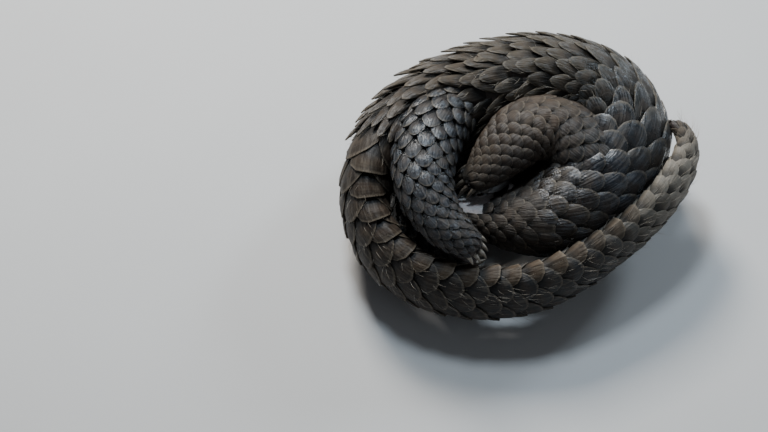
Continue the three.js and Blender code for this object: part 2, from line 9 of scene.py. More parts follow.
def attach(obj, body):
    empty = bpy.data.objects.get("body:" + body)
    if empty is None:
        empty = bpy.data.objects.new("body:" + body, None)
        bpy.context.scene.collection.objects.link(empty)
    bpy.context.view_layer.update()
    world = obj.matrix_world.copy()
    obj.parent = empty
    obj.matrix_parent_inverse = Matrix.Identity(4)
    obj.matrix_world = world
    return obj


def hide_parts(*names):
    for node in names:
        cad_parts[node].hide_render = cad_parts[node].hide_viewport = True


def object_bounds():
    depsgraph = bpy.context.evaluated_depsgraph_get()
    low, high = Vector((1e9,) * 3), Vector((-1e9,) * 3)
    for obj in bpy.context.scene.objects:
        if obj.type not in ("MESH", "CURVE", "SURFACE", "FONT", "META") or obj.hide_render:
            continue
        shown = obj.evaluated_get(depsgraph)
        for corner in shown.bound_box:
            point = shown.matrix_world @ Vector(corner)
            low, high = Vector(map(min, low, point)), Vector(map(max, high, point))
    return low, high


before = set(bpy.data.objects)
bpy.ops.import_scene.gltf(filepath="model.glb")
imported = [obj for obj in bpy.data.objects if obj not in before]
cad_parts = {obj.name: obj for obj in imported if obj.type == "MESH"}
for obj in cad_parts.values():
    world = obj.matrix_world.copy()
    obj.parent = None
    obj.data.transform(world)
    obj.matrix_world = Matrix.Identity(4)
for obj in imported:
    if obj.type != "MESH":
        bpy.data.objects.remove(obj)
cad_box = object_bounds()

# Camera
# It looks down on the right flank from the near side through a long lens, and the animal sits to the
# right of the picture's middle and above it. Its distances are millimetres from the animal's own origin.
MM = 0.001
LENS = 85
SENSOR_WIDTH = 36
CLIP_START = 0.01
ELEVATION = np.radians(62)
CAMERA_DISTANCE = 954
CAMERA_RIGHT = -71.6
CAMERA_UP = -21.6
ORIGIN = np.array((0.5, -2.0, 40.2))  # the animal's own origin in the part's frame, in its middle plane

to_right = Vector((1, 0, 0))
to_top = Vector((0, np.sin(ELEVATION), np.cos(ELEVATION)))
to_camera = Vector((0, -np.cos(ELEVATION), np.sin(ELEVATION)))
camera_data = bpy.data.cameras.new("camera")
camera_data.lens = LENS
camera_data.sensor_width = SENSOR_WIDTH
camera_data.clip_start = CLIP_START
camera = bpy.data.objects.new("camera", camera_data)
bpy.context.scene.collection.objects.link(camera)
camera.location = MM * (
    Vector(ORIGIN) + CAMERA_RIGHT * to_right + CAMERA_UP * to_top + CAMERA_DISTANCE * to_camera
)
camera.rotation_euler = (np.pi / 2 - ELEVATION, 0, 0)
bpy.context.scene.camera = camera

# Skin
# The living hide of the whole animal: bare and wrinkled on the face, the belly and the inner legs, and
# hidden under the scales elsewhere. It is one closed piece, drawn out along the body and the legs.

# Each row is a station along the animal: x, y and height above the middle plane, the reach of the skin to
# the back, the belly and each side, the twist, the scaled share of the girth, the step from one ring of
# scales to the next and the height of a scale's tip. Lengths are in millimetres and the twist in degrees.
BODY = {
    "nose tip": (-50, -17, 0, 3, 2.6, 3.6, 40, 0.42, 2.4, 0.4),
    "muzzle": (-38.5, -20.5, 0, 6.8, 5.6, 6.8, 40, 0.46, 2.7, 0.7),
    "eyes": (-23, -23.5, 0, 11.6, 9.4, 10.8, 40, 0.52, 3, 1),
    "ears": (-6, -25.5, 0, 17, 15.5, 15.5, 38, 0.64, 4.2, 1.3),
    "nape": (10.5, -23.5, 0, 21, 19.5, 20, 25, 0.8, 6, 1.7),
    "neck": (26, -15, 0, 23, 20.5, 24.5, 10, 0.86, 6.6, 2),
    "shoulders": (39, -0.5, 0, 26, 19, 28.5, 0, 0.88, 7, 2.3),
    "chest": (46, 20.5, 0, 31.5, 18.5, 34, 0, 0.92, 7, 2.3),
    "ribs": (37, 40, 0, 30.5, 22, 37.5, 0, 0.92, 6.2, 2.1),
    "loin": (9, 48, 0, 29, 25, 38.5, 0, 0.92, 5.6, 2),
    "haunch": (-25, 41.5, 0, 27, 24, 37, 0, 0.92, 5.6, 2.2),
    "rump": (-56, 27, 0, 22, 19, 32, 0, 0.9, 6, 2.8),
    "tail root": (-76.5, 5, 0, 14, 13, 26, 3, 0.94, 6.6, 2.4),
    "tail 1": (-81, -17, -3, 11, 10, 21, 6, 1, 6.6, 2.2),
    "tail 2": (-73.5, -39, -6, 9.5, 9, 18.5, 10, 1, 6.5, 2.1),
    "tail 3": (-56, -55, -8, 8.5, 8, 17, 13, 1, 6.4, 2),
    "tail 4": (-32, -63, -9, 8, 7.5, 16, 15, 1, 6.3, 2),
    "tail 5": (-7, -64, -9, 7.5, 7, 15.5, 15, 1, 6.2, 1.9),
    "tail 6": (18, -57.5, -6, 7.2, 6.5, 14.5, 15, 1, 6.1, 1.8),
    "tail 7": (43, -43, -2, 6.6, 6, 13, 15, 1, 5.9, 1.7),
    "tail 8": (65.5, -25, 3, 6, 5.4, 11.5, 19, 1, 5.7, 1.6),
    "tail 9": (80.5, -6, 7, 5.6, 5, 10.8, 25, 1, 5.3, 1.4),
    "tail 10": (87, 9, 9, 4.9, 4.5, 8.8, 28, 1, 4.4, 1.1),
    "tail 11": (85.5, 19, 11, 4.2, 3.8, 6.2, 28, 1, 3.6, 0.8),
    "tail tip": (79, 24.5, 13, 2.6, 2.6, 3.4, 28, 1, 2.8, 0.5),
}
HIND_LEG = {
    "hip": (-31, 40, 9, 19, 18, 17.5, 0, 0.92, 5.6, 1.8),
    "thigh": (-44, 19, 20, 17, 15, 15.5, 0, 0.92, 5.2, 1.8),
    "knee": (-50.5, -1, 23.5, 15.5, 14, 15, 0, 0.92, 5, 1.8),
    "shank": (-51, -20, 22.5, 14, 12, 13.5, 0, 0.92, 4.6, 1.6),
    "ankle": (-43.5, -37, 19.5, 10.5, 9, 11, 0, 0.92, 4, 1.3),
    "instep": (-33, -46, 16.5, 8, 7.5, 8.6, 0, 0.92, 3.2, 1),
    "toes": (-24.5, -50.5, 13.5, 4.6, 4.6, 6.4, 0, 0.8, 2.6, 0.6),
}
FORELEG = {
    "toes": (-28, -12.5, 18, 4.2, 4.2, 6.6, 0, 0.94, 2.6, 0.5),
    "palm": (-23.5, -11, 19.8, 6.2, 5.5, 8.2, 0, 0.94, 2.8, 0.9),
    "wrist": (-18, -7, 21.8, 8.4, 7, 10.5, 0, 0.94, 3, 1.1),
    "lower arm": (-9.5, 1.5, 24, 11, 9.5, 13.5, 0, 0.94, 3.4, 1.4),
    "forearm": (2, 11.5, 25, 12.5, 11, 15.5, 0, 0.94, 3.8, 1.6),
    "elbow": (17, 14.5, 22.5, 13.5, 13, 15.5, 0, 0.94, 4.2, 1.7),
    "upper arm": (34, 4, 17, 14, 13, 17, 0, 0.94, 4.8, 1.8),
    "shoulder": (47, -8, 9, 13, 12, 15, 0, 0.94, 5.6, 2),
}
# Where the left limbs lie otherwise: the upper arm rests on the floor, and the hind foot is inside the tail.
LEFT_HIND_LEG = {
    "ankle": (-43.5, -35, 19.5, 10.5, 9, 11, 0, 0.92, 4, 1.3),
    "instep": (-33, -42, 16.5, 8, 7.5, 8.6, 0, 0.92, 3.2, 1),
    "toes": (-24.5, -44.5, 13.5, 4.6, 4.6, 6.4, 0, 0.8, 2.6, 0.6),
}
LEFT_FORELEG = {"upper arm": (34, 4, 23, 15.5, 11, 12, 0, 0.94, 4.8, 1.8)}
FINE = 24  # samples between two stations
GIRTH_STEPS = 32


def blend(rows, q):
    """Values at q, counted in rows, on a smooth curve that runs through every row."""
    i = np.clip(np.floor(q).astype(int), 0, len(rows) - 2)
    t = (q - i)[:, None]
    start, end = rows[i], rows[i + 1]
    before = rows[np.maximum(i - 1, 0)]
    after = rows[np.minimum(i + 2, len(rows) - 1)]
    leave = np.where((i > 0)[:, None], (end - before) / 2, end - start)
    arrive = np.where((i + 2 < len(rows))[:, None], (after - start) / 2, end - start)
    curl = leave + arrive - 2 * (end - start)
    return start + t * (leave + t * (3 * (end - start) - 2 * leave - arrive + t * curl))


def unit(v):
    """The same directions with a length of one."""
    return v / np.linalg.norm(v, axis=-1, keepdims=True)


def make_line(stations, limb=False, sign=1):
    """A smooth line through stations, which knows how far along it each station is."""
    rows = np.array(list(stations.values()), float)
    rows[:, 2] *= sign
    points = blend(rows, np.arange((len(rows) - 1) * FINE + 1) / FINE)[:, :3]
    bits = np.linalg.norm(np.diff(points, axis=0), axis=1)
    reach = np.concatenate(([0], np.cumsum(bits)))
    at = {name: reach[i * FINE] for i, name in enumerate(stations)}
    return SimpleNamespace(rows=rows, reach=reach, length=reach[-1], at=at, limb=limb, sign=sign)


def sections(line, s):
    """Cuts across a line at the distances s: middle, directions, reach each way and sizes of scales."""
    s = np.atleast_1d(np.asarray(s, float))
    k = np.clip(np.searchsorted(line.reach, s, side="right"), 1, len(line.reach) - 1)
    part = (s - line.reach[k - 1]) / (line.reach[k] - line.reach[k - 1])
    q = (k - 1 + part) / FINE
    sizes = blend(line.rows, q)
    ahead = blend(line.rows, np.minimum(q + 0.02, len(line.rows) - 1))[:, :3]
    along = unit(ahead - blend(line.rows, np.maximum(q - 0.02, 0))[:, :3])
    upward = np.array((0.0, 0.0, 1.0))
    if line.limb:
        out = unit(upward - along * along[:, 2:]) * line.sign
    else:
        out = unit(np.cross(along, upward))
    across = unit(np.cross(out, along))
    twist = np.radians(sizes[:, 6:7])
    return SimpleNamespace(
        s=s,
        centre=sizes[:, :3],
        along=along,
        out=out * np.cos(twist) + across * np.sin(twist),
        across=across * np.cos(twist) - out * np.sin(twist),
        back=sizes[:, 3],
        belly=sizes[:, 4],
        side=sizes[:, 5],
        cover=sizes[:, 7],
        pitch=sizes[:, 8],
        lift=sizes[:, 9],
    )


def half_girths(cut):
    """Length of skin from the back line towards the belly line, added up over even steps of angle."""
    angle = (np.arange(GIRTH_STEPS) + 0.5) / GIRTH_STEPS * np.pi
    reach = np.where(np.cos(angle) > 0, cut.back[:, None], cut.belly[:, None])
    bits = np.hypot(reach * np.sin(angle), cut.side[:, None] * np.cos(angle)) * np.pi / GIRTH_STEPS
    return np.concatenate((np.zeros((len(bits), 1)), np.cumsum(bits, axis=1)), axis=1)


def on_skin(cut, share, height):
    """Places a share of the half girth from the back line, and a height above the skin, in millimetres."""
    share = share - 2 * np.round(share / 2)
    table = half_girths(cut)
    wanted = np.minimum(np.abs(share), 1) * table[:, -1]
    k = np.clip((table < wanted[:, None] - 1e-9).sum(axis=1), 1, GIRTH_STEPS)
    n = np.arange(len(k))
    part = k - 1 + (wanted - table[n, k - 1]) / (table[n, k] - table[n, k - 1])
    angle = np.sign(share) * part / GIRTH_STEPS * np.pi
    reach = np.where(np.cos(angle) > 0, cut.back, cut.belly)
    normal = unit(np.stack((np.cos(angle) / reach, np.sin(angle) / cut.side), axis=1))
    outward = reach * np.cos(angle) + normal[:, 0] * height
    sideways = cut.side * np.sin(angle) + normal[:, 1] * height
    return cut.centre + cut.out * outward[:, None] + cut.across * sideways[:, None]


def in_frame(points):
    """Places in metres in the part's frame, from millimetres about the animal's own origin."""
    return (points + ORIGIN) * MM


def step(x, low, high):
    """A smooth rise from nought at low to one at high."""
    t = np.clip((x - low) / (high - low), 0, 1)
    return t * t * (3 - 2 * t)


def bump(x, width):
    """A smooth hump that is one at nought and fades on both sides over about the width."""
    return np.exp(-((x / width) ** 2))


body = make_line(BODY)
limbs = {}
for side, sign in (("right", 1), ("left", -1)):
    leg, arm = HIND_LEG, FORELEG
    if side == "left":
        leg, arm = leg | LEFT_HIND_LEG, arm | LEFT_FORELEG
    limbs["hind", side] = make_line(leg, limb=True, sign=sign)
    limbs["fore", side] = make_line(arm, limb=True, sign=sign)

# The features of the face: s is the distance from the nose, start and end are such distances, share is the
# part of the half girth from the back line down, and the other sizes are millimetres.
EYE = SimpleNamespace(s=28, share=0.5, depth=1.3, radius=2.3)
EAR = SimpleNamespace(s=43.5, share=0.58)
NOSTRIL = SimpleNamespace(ahead=1.5, apart=1.7, up=0.6, radius=0.75, depth=1.5, rim=0.3)
MOUTH = SimpleNamespace(start=1.2, end=18.5, share=0.64)


def face_relief(s, share, girth):
    """Height of the hide of the head above its plain form: lips, lids, brow and the hollow by the ear."""
    sideways = np.abs(share)
    lip = MOUTH.share + (1 - MOUTH.share) * step(5 - s, 0, 3)
    from_lip = (sideways - lip) * girth
    along_mouth = step(s, MOUTH.start, MOUTH.start + 1) * step(MOUTH.end - s, 0, 4)
    lips = 0.5 * bump(np.abs(from_lip) - 1.1, 0.7)
    mouth_line = 1.1 * bump(from_lip, 0.34)
    height = along_mouth * (lips - mouth_line)

    ring = np.hypot((s - EYE.s) / 1.25, (sideways - EYE.share) * girth / 0.85)
    lids = 1.15 * bump(ring - 1.75, 0.75)
    brow = 0.35 * bump(ring - 3.1, 0.5)
    lid_crease = 0.25 * bump(ring - 2.55, 0.3)
    height += lids + brow - lid_crease
    socket = -0.9 + 1.7 * step(ring, 1.1, 1.3)
    height = np.where(ring < 1.3, socket, height)

    ear_ahead = s - EAR.s
    ear_aside = (sideways - EAR.share) * girth
    ear_rim = 0.7 * bump(np.hypot(ear_ahead, ear_aside / 1.4) - 3.6, 1.2)
    ear_hole = 1.6 * bump(np.hypot((ear_ahead + 0.8) / 1.3, ear_aside / 1.6), 1.3)
    return height + ear_rim - ear_hole


def folds(s, share, girth, cover):
    """Soft creases of the bare hide across the belly."""
    bare = step((np.abs(share) - cover) * girth, 0, 6) * step(s, 50, 70)
    crease = np.abs(np.sin(s * 0.42 + 2.2 * np.sin(s * 0.11) + 1.4 * np.abs(share)))
    return bare * (0.9 * crease - 0.6)


def extrude_ring(bm, ring):
    """Extrudes a closed ring of corners, and returns the new ring in the same order."""
    edges = [bm.edges.get((ring[i - 1], ring[i])) for i in range(len(ring))]
    made = bmesh.ops.extrude_edge_only(bm, edges=edges)["geom"]
    fresh = {v for v in made if isinstance(v, bmesh.types.BMVert)}
    return [next(e.other_vert(v) for e in v.link_edges if e.other_vert(v) in fresh) for v in ring]


def tube(places):
    """A closed tube through rings of places, an array of rings by points by three, in millimetres."""
    bm = bmesh.new()
    ring = bmesh.ops.create_circle(bm, segments=places.shape[1], radius=1)["verts"]
    first = list(ring)
    for i, row in enumerate(in_frame(places)):
        if i:
            ring = extrude_ring(bm, ring)
        for vert, place in zip(ring, row):
            vert.co = place
    for loop in (first, ring):
        edges = [bm.edges.get((loop[i - 1], loop[i])) for i in range(len(loop))]
        bmesh.ops.edgeloop_fill(bm, edges=edges)
    bmesh.ops.recalc_face_normals(bm, faces=bm.faces)
    return bm


def piece_from(name, bm):
    """Turns a bmesh into an object in the scene."""
    mesh = bpy.data.meshes.new(name)
    bm.to_mesh(mesh)
    bm.free()
    obj = bpy.data.objects.new(name, mesh)
    bpy.context.scene.collection.objects.link(obj)
    return obj


def apply_modifiers(obj):
    """Gives an object the mesh that its modifiers show, and takes them off."""
    seen = obj.evaluated_get(bpy.context.evaluated_depsgraph_get())
    mesh = bpy.data.meshes.new_from_object(seen)
    old = obj.data
    obj.modifiers.clear()
    obj.data = mesh
    bpy.data.meshes.remove(old)
    mesh.name = obj.name


def dress(obj, material):
    """Shades a piece smoothly and gives all of it one material."""
    for polygon in obj.data.polygons:
        polygon.use_smooth = True
    obj.data.materials.clear()
    obj.data.materials.append(material)


FLOOR_CLEARANCE = 0.00005


def above_floor(points):
    """Points in metres, those under the floor lifted onto it."""
    points[..., 2] = np.maximum(points[..., 2], FLOOR_CLEARANCE)
    return points


def corner_places(mesh):
    """The places of a mesh's corners, one row of three for each."""
    places = np.empty(len(mesh.vertices) * 3)
    mesh.vertices.foreach_get("co", places)
    return places.reshape(-1, 3)


# Share samples round the body are closest at the lips and the eyes.
near_face = np.concatenate(
    (
        np.linspace(0, 0.36, 14, endpoint=False),
        np.linspace(0.36, 0.72, 30, endpoint=False),
        np.linspace(0.72, 1, 12),
    )
)
round_body = np.concatenate((near_face[:-1], 2 - near_face[::-1][:-1]))
round_body = np.where(round_body > 1, round_body - 2, round_body)

# Rings of corners along the body: a domed nose, close rings on the face, wider ones behind and a domed
# tail tip.
NOSE_BASE = 3  # where the dome ends, from the nose tip
NOSE_DOME = 4.4
TAIL_BASE = 2.5  # where the dome starts, from the tail tip
TAIL_DOME = 3.7
UNDER_COAT = 0.45  # how far the hide lies deeper under the scales
nose_turn = np.linspace(0.06, np.pi / 2, 14)
nose_s = NOSE_BASE - NOSE_DOME * np.cos(nose_turn)
plain_s = np.concatenate(
    (
        np.arange(3.6, 23.6, 0.6),
        np.arange(23.8, 32.4, 0.35),
        np.arange(32.8, 50, 0.7),
        np.arange(50.5, body.length - 3, 2.4),
    )
)
tail_turn = np.linspace(0, np.pi / 2 - 0.08, 8)
tail_s = body.length - TAIL_BASE + TAIL_DOME * np.sin(tail_turn)
body_s = np.concatenate((nose_s, plain_s, tail_s))
fullness = np.concatenate((np.sin(nose_turn) ** 0.75, np.ones(len(plain_s)), np.cos(tail_turn)))


def press_nostrils(points):
    """Sinks two nostrils with low rims into the tip of the nose."""
    nose = sections(body, 0.6)
    inner = nose.centre + nose.along * 2
    for way in (1, -1):
        hole = (
            nose.centre[0]
            - nose.along[0] * NOSTRIL.ahead
            + nose.across[0] * NOSTRIL.apart * way
            + nose.out[0] * NOSTRIL.up
        )
        distance = np.linalg.norm(points - hole, axis=1)
        rim = NOSTRIL.rim * bump(distance - 1.3, 0.5)
        sink = NOSTRIL.depth * bump(distance, NOSTRIL.radius) - rim
        points = points + unit(inner - points) * sink[:, None]
    return points


def body_tube():
    """The hide of the head, trunk and tail, sunk a little where scales cover it."""
    sides = len(round_body)
    cut = sections(body, np.repeat(body_s, sides))
    share = np.tile(round_body, len(body_s))
    girth = half_girths(cut)[:, -1]
    covered = step((cut.cover - np.abs(share)) * girth, 0, 3) * step(cut.s, 17, 24)
    height = face_relief(cut.s, share, girth) + folds(cut.s, share, girth, cut.cover) - UNDER_COAT * covered
    points = on_skin(cut, share, height)
    full = np.repeat(fullness, sides)[:, None]
    points = press_nostrils(cut.centre + (points - cut.centre) * full)
    return tube(points.reshape(len(body_s), sides, 3))


LIMB_SIDES = 56
LIMB_BASE = 2.4  # where the domed ends of a limb start
LIMB_DOME = 4.2
LIMB_STEP = 1.6
TOE_PITCH = 2.9  # from the middle of one toe to the next
TOE_CREASE = 0.8
round_limb = np.arange(LIMB_SIDES) * 2 / LIMB_SIDES
round_limb = np.where(round_limb > 1, round_limb - 2, round_limb)


def limb_tube(kind, line):
    """The hide of one leg with both ends closed, creased between its toes."""
    turn = np.linspace(0, np.pi / 2 - 0.1, 8)
    plain = np.arange(LIMB_BASE, line.length - LIMB_BASE, LIMB_STEP)
    if kind == "hind":
        toe_end = line.length
        limb_s = np.concatenate((plain, line.length - LIMB_BASE + LIMB_DOME * np.sin(turn)))
        full = np.concatenate((np.ones(len(plain)), np.cos(turn) ** 0.8))
    else:
        toe_end = 0
        limb_s = np.concatenate((LIMB_BASE - LIMB_DOME * np.sin(turn[::-1]), plain))
        full = np.concatenate((np.cos(turn[::-1]) ** 0.8, np.ones(len(plain))))
    cut = sections(line, np.repeat(limb_s, LIMB_SIDES))
    share = np.tile(round_limb, len(limb_s))
    girth = half_girths(cut)[:, -1]
    covered = step((cut.cover - np.abs(share)) * girth, 0, 3)
    plain_points = on_skin(cut, share, np.zeros(len(share)))
    sideways = ((plain_points - cut.centre) * cut.across).sum(axis=1)
    between_toes = (sideways / TOE_PITCH + 0.5) % 1
    crease = bump(between_toes, 0.16) + bump(between_toes - 1, 0.16)
    toes = step(5.5 - np.abs(cut.s - toe_end), 0, 3)
    height = -UNDER_COAT * covered * (1 - toes) - TOE_CREASE * crease * toes
    points = on_skin(cut, share, height)
    points = cut.centre + (points - cut.centre) * np.repeat(full, LIMB_SIDES)[:, None]
    return tube(points.reshape(len(limb_s), LIMB_SIDES, 3))


skin = piece_from("skin", body_tube())
for (kind, side), line in limbs.items():
    limb = piece_from(f"{kind}_{side}", limb_tube(kind, line))
    union = skin.modifiers.new("join", "BOOLEAN")
    union.operation = "UNION"
    union.solver = "MANIFOLD"
    union.object = limb
    apply_modifiers(skin)
    bpy.data.objects.remove(limb)
skin.data.vertices.foreach_set("co", above_floor(corner_places(skin.data)).ravel())
skin.data.update()


class Nodes:
    """A short way to write a material: each call adds one node and joins its inputs."""

    def __init__(self, name):
        self.material = bpy.data.materials.new(name)
        self.material.use_nodes = True
        self.tree = self.material.node_tree
        self.shader = self.tree.nodes["Principled BSDF"]

    def add(self, kind, inputs=(), **settings):
        node = self.tree.nodes.new(kind)
        for key, value in settings.items():
            setattr(node, key, value)
        for key, value in dict(inputs).items():
            self.join(value, node.inputs[key])
        return node

    def join(self, value, socket):
        if isinstance(value, bpy.types.NodeSocket):
            self.tree.links.new(value, socket)
        else:
            socket.default_value = value

    def math(self, operation, a, b=0.0, clamp=False):
        node = self.add("ShaderNodeMath", {0: a, 1: b}, operation=operation, use_clamp=clamp)
        return node.outputs[0]

    def range(self, value, low, high, to_low=0.0, to_high=1.0):
        ends = {"Value": value, "From Min": low, "From Max": high, "To Min": to_low, "To Max": to_high}
        return self.add("ShaderNodeMapRange", ends, interpolation_type="SMOOTHSTEP").outputs[0]

    def mix(self, factor, a, b):
        node = self.add("ShaderNodeMix", {0: factor, 6: a, 7: b}, data_type="RGBA")
        return node.outputs[2]

    def noise(self, vector, scale, detail=3.0, roughness=0.5, distortion=0.0):
        values = {"Vector": vector, "Scale": scale, "Detail": detail, "Roughness": roughness}
        values["Distortion"] = distortion
        return self.add("ShaderNodeTexNoise", values).outputs["Fac"]

    def place(self, scale=(1, 1, 1)):
        where = self.add("ShaderNodeTexCoord").outputs["Object"]
        return self.add("ShaderNodeMapping", {"Vector": where, "Scale": scale}).outputs[0]

    def bump(self, height, distance, strength=1.0, under=None):
        inputs = {"Height": height, "Distance": distance, "Strength": strength}
        if under is not None:
            inputs["Normal"] = under
        return self.add("ShaderNodeBump", inputs).outputs[0]

    def set(self, **values):
        for key, value in values.items():
            self.join(value, self.shader.inputs[key.replace("_", " ")])
        return self.material


# Bare hide: blotched pink-grey on the face and painted dark brown elsewhere, as shade in the curl and
# between the scales; with darker specks, wrinkles and pores.
PALE_HIDE = ((0.4, 0.36, 0.345, 1), (0.6, 0.57, 0.56, 1))
PAINTED_SHADE_HIDE = ((0.024, 0.019, 0.016, 1), (0.055, 0.042, 0.035, 1))
HIDE_SPECK = (0.06, 0.042, 0.035, 1)
hide = Nodes("hide_with_painted_shade")
hide_place = hide.place()
hide_blotch = hide.range(hide.noise(hide_place, 90, 4), 0.38, 0.64)
speck = hide.range(hide.noise(hide_place, 900, 3), 0.5, 0.75, 0, 0.4)
wrinkle = hide.noise(hide.place((1, 1, 2.2)), 420, 5, 0.6, 0.8)
pores = hide.add("ShaderNodeTexVoronoi", {"Vector": hide_place, "Scale": 1500}).outputs["Distance"]
face = hide.add("ShaderNodeAttribute", attribute_name="face").outputs["Fac"]
# Painted shade: away from the face the hide is painted dark brown instead of its own pale colour.
hide_with_painted_shade = hide.mix(face, hide.mix(hide_blotch, *PAINTED_SHADE_HIDE), hide.mix(hide_blotch, *PALE_HIDE))
hide_bump = hide.bump(wrinkle, 0.0006, 0.7)
hide_bump = hide.bump(pores, 0.0002, 0.6, hide_bump)
hide.set(
    Base_Color=hide.mix(speck, hide_with_painted_shade, HIDE_SPECK),
    Roughness=hide.range(wrinkle, 0.3, 0.7, 0.5, 0.68),
    Normal=hide_bump,
    Subsurface_Weight=0.12,
    Subsurface_Scale=0.002,
    Subsurface_Radius=(1.0, 0.4, 0.3),
    Specular_IOR_Level=0.4,
)
dress(skin, hide.material)

# How pale the hide is at each place: fully on the snout and the cheeks, and less towards the neck.
# Elsewhere the hide is painted dark brown as shade.
PALE_ENDS = (26, 62)
HEAD_MARGIN = 2.5
places = corner_places(skin.data) / MM - ORIGIN
head_line = sections(body, np.linspace(0, 70, 71))
apart = np.linalg.norm(places[:, None] - head_line.centre[None], axis=2)
nearest = np.argmin(apart, axis=1)
on_head = apart[np.arange(len(places)), nearest] < head_line.side[nearest] + HEAD_MARGIN
face_share = on_head * (1 - step(head_line.s[nearest], *PALE_ENDS))
skin.data.attributes.new("face", "FLOAT", "POINT").data.foreach_set("value", face_share)
FLESH = ["head", "neck", "torso_front", "torso_middle", "torso_rear"]
FLESH += [f"tail_{i}" for i in range(1, 7)]
for side in ("right", "left"):
    FLESH += [f"hind_leg_{side}", f"hind_foot_{side}", f"foreleg_{side}", f"forefoot_{side}"]
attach(skin, "root")
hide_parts(*FLESH)

# Head scales
# Plates of hard horn, small on the brow and larger towards the nape. Like every scale, each is rooted in the
# hide under the two rings before it, and its free rim points to the tail. They lie in lengthwise columns.
ACROSS = 8
ALONG = 5
SCALE_LENGTH = 2.7  # in ring steps
RIM_ANGLE = np.radians(48)  # edges sharper than this stay sharp
TONES = (0.7, 0.65)  # how bright the darkest scale is, and how much brighter the lightest
PATCH = 0.003  # size of one scale on the bake map
HIDDEN_MARGIN = 2.5  # how deep inside another limb, in millimetres, a scale is left out
# The plain scale: its half width in columns and what is left of it at the root, the height of its underside
# at the tip and its fall in each ring step, and its thickness, all three in shares of the lift, with the
# least thickness in millimetres.
PLAIN = SimpleNamespace(half_width=0.99, root_width=0.76, tip=0.62, fall=0.36, thick=0.3, least=0.22)
# How much single scales differ from it, and how much more where they are wild.
VARY = SimpleNamespace(lift=(0.9, 1.12), turn=0.035, width=(0.92, 1.08), flare=(0.3, 1.6))
WILD = SimpleNamespace(turn=0.17, narrower=0.4, shift=0.5, tilt=1.2, point=1.4)


def scale_template():
    """One scale as a flat closed grid: its corners across and along, which are low, and its faces."""
    bm = bmesh.new()
    bmesh.ops.create_grid(bm, x_segments=ACROSS, y_segments=ALONG, size=1)
    rim = [edge for edge in bm.edges if edge.is_boundary]
    made = bmesh.ops.extrude_edge_only(bm, edges=rim)["geom"]
    lower = [v for v in made if isinstance(v, bmesh.types.BMVert)]
    bmesh.ops.translate(bm, verts=lower, vec=(0, 0, -1))
    bmesh.ops.edgeloop_fill(bm, edges=[edge for edge in bm.edges if edge.is_boundary])
    bmesh.ops.recalc_face_normals(bm, faces=bm.faces)
    bm.verts.index_update()
    corners = np.array([v.co for v in bm.verts])
    faces = [[v.index for v in face.verts] for face in bm.faces]
    bm.free()
    return corners[:, 0], (corners[:, 1] + 1) / 2, corners[:, 2] < -0.5, faces


tile_u, tile_v, tile_low, tile_faces = scale_template()
tile_v = tile_v**0.85  # rows of corners are closer towards the rim


def ring_tips(line, start, end, ring):
    """Distances along a line of the rings of scale tips, with the number of each ring."""
    found = []
    s = start + sections(line, start).pitch[0]
    while s < end - 0.4 * sections(line, end).pitch[0]:
        found.append((s, ring))
        ring += 1
        s += sections(line, s).pitch[0]
    return found


def inside(line, points, margin):
    """Tells which points are inside a line's skin, less a margin in millimetres."""
    cut = sections(line, np.linspace(0, line.length, 160))
    offset = points[:, None, :] - cut.centre[None]
    nearest = np.argmin((offset**2).sum(axis=2), axis=1)
    n = np.arange(len(points))
    offset = offset[n, nearest]
    outward = (offset * cut.out[nearest]).sum(axis=1)
    sideways = (offset * cut.across[nearest]).sum(axis=1)
    lengthwise = np.abs((offset * cut.along[nearest]).sum(axis=1))
    reach = np.where(outward > 0, cut.back[nearest], cut.belly[nearest]) - margin
    wide = cut.side[nearest] - margin
    return ((outward / reach) ** 2 + (sideways / wide) ** 2 < 1) & (lengthwise < 4)


def column_share(coat, cut):
    """The share of the half girth from one column of scales to the next."""
    if coat.closed:
        return np.full(len(cut.s), 2 / coat.columns)
    return cut.cover / (coat.columns // 2 + 1)


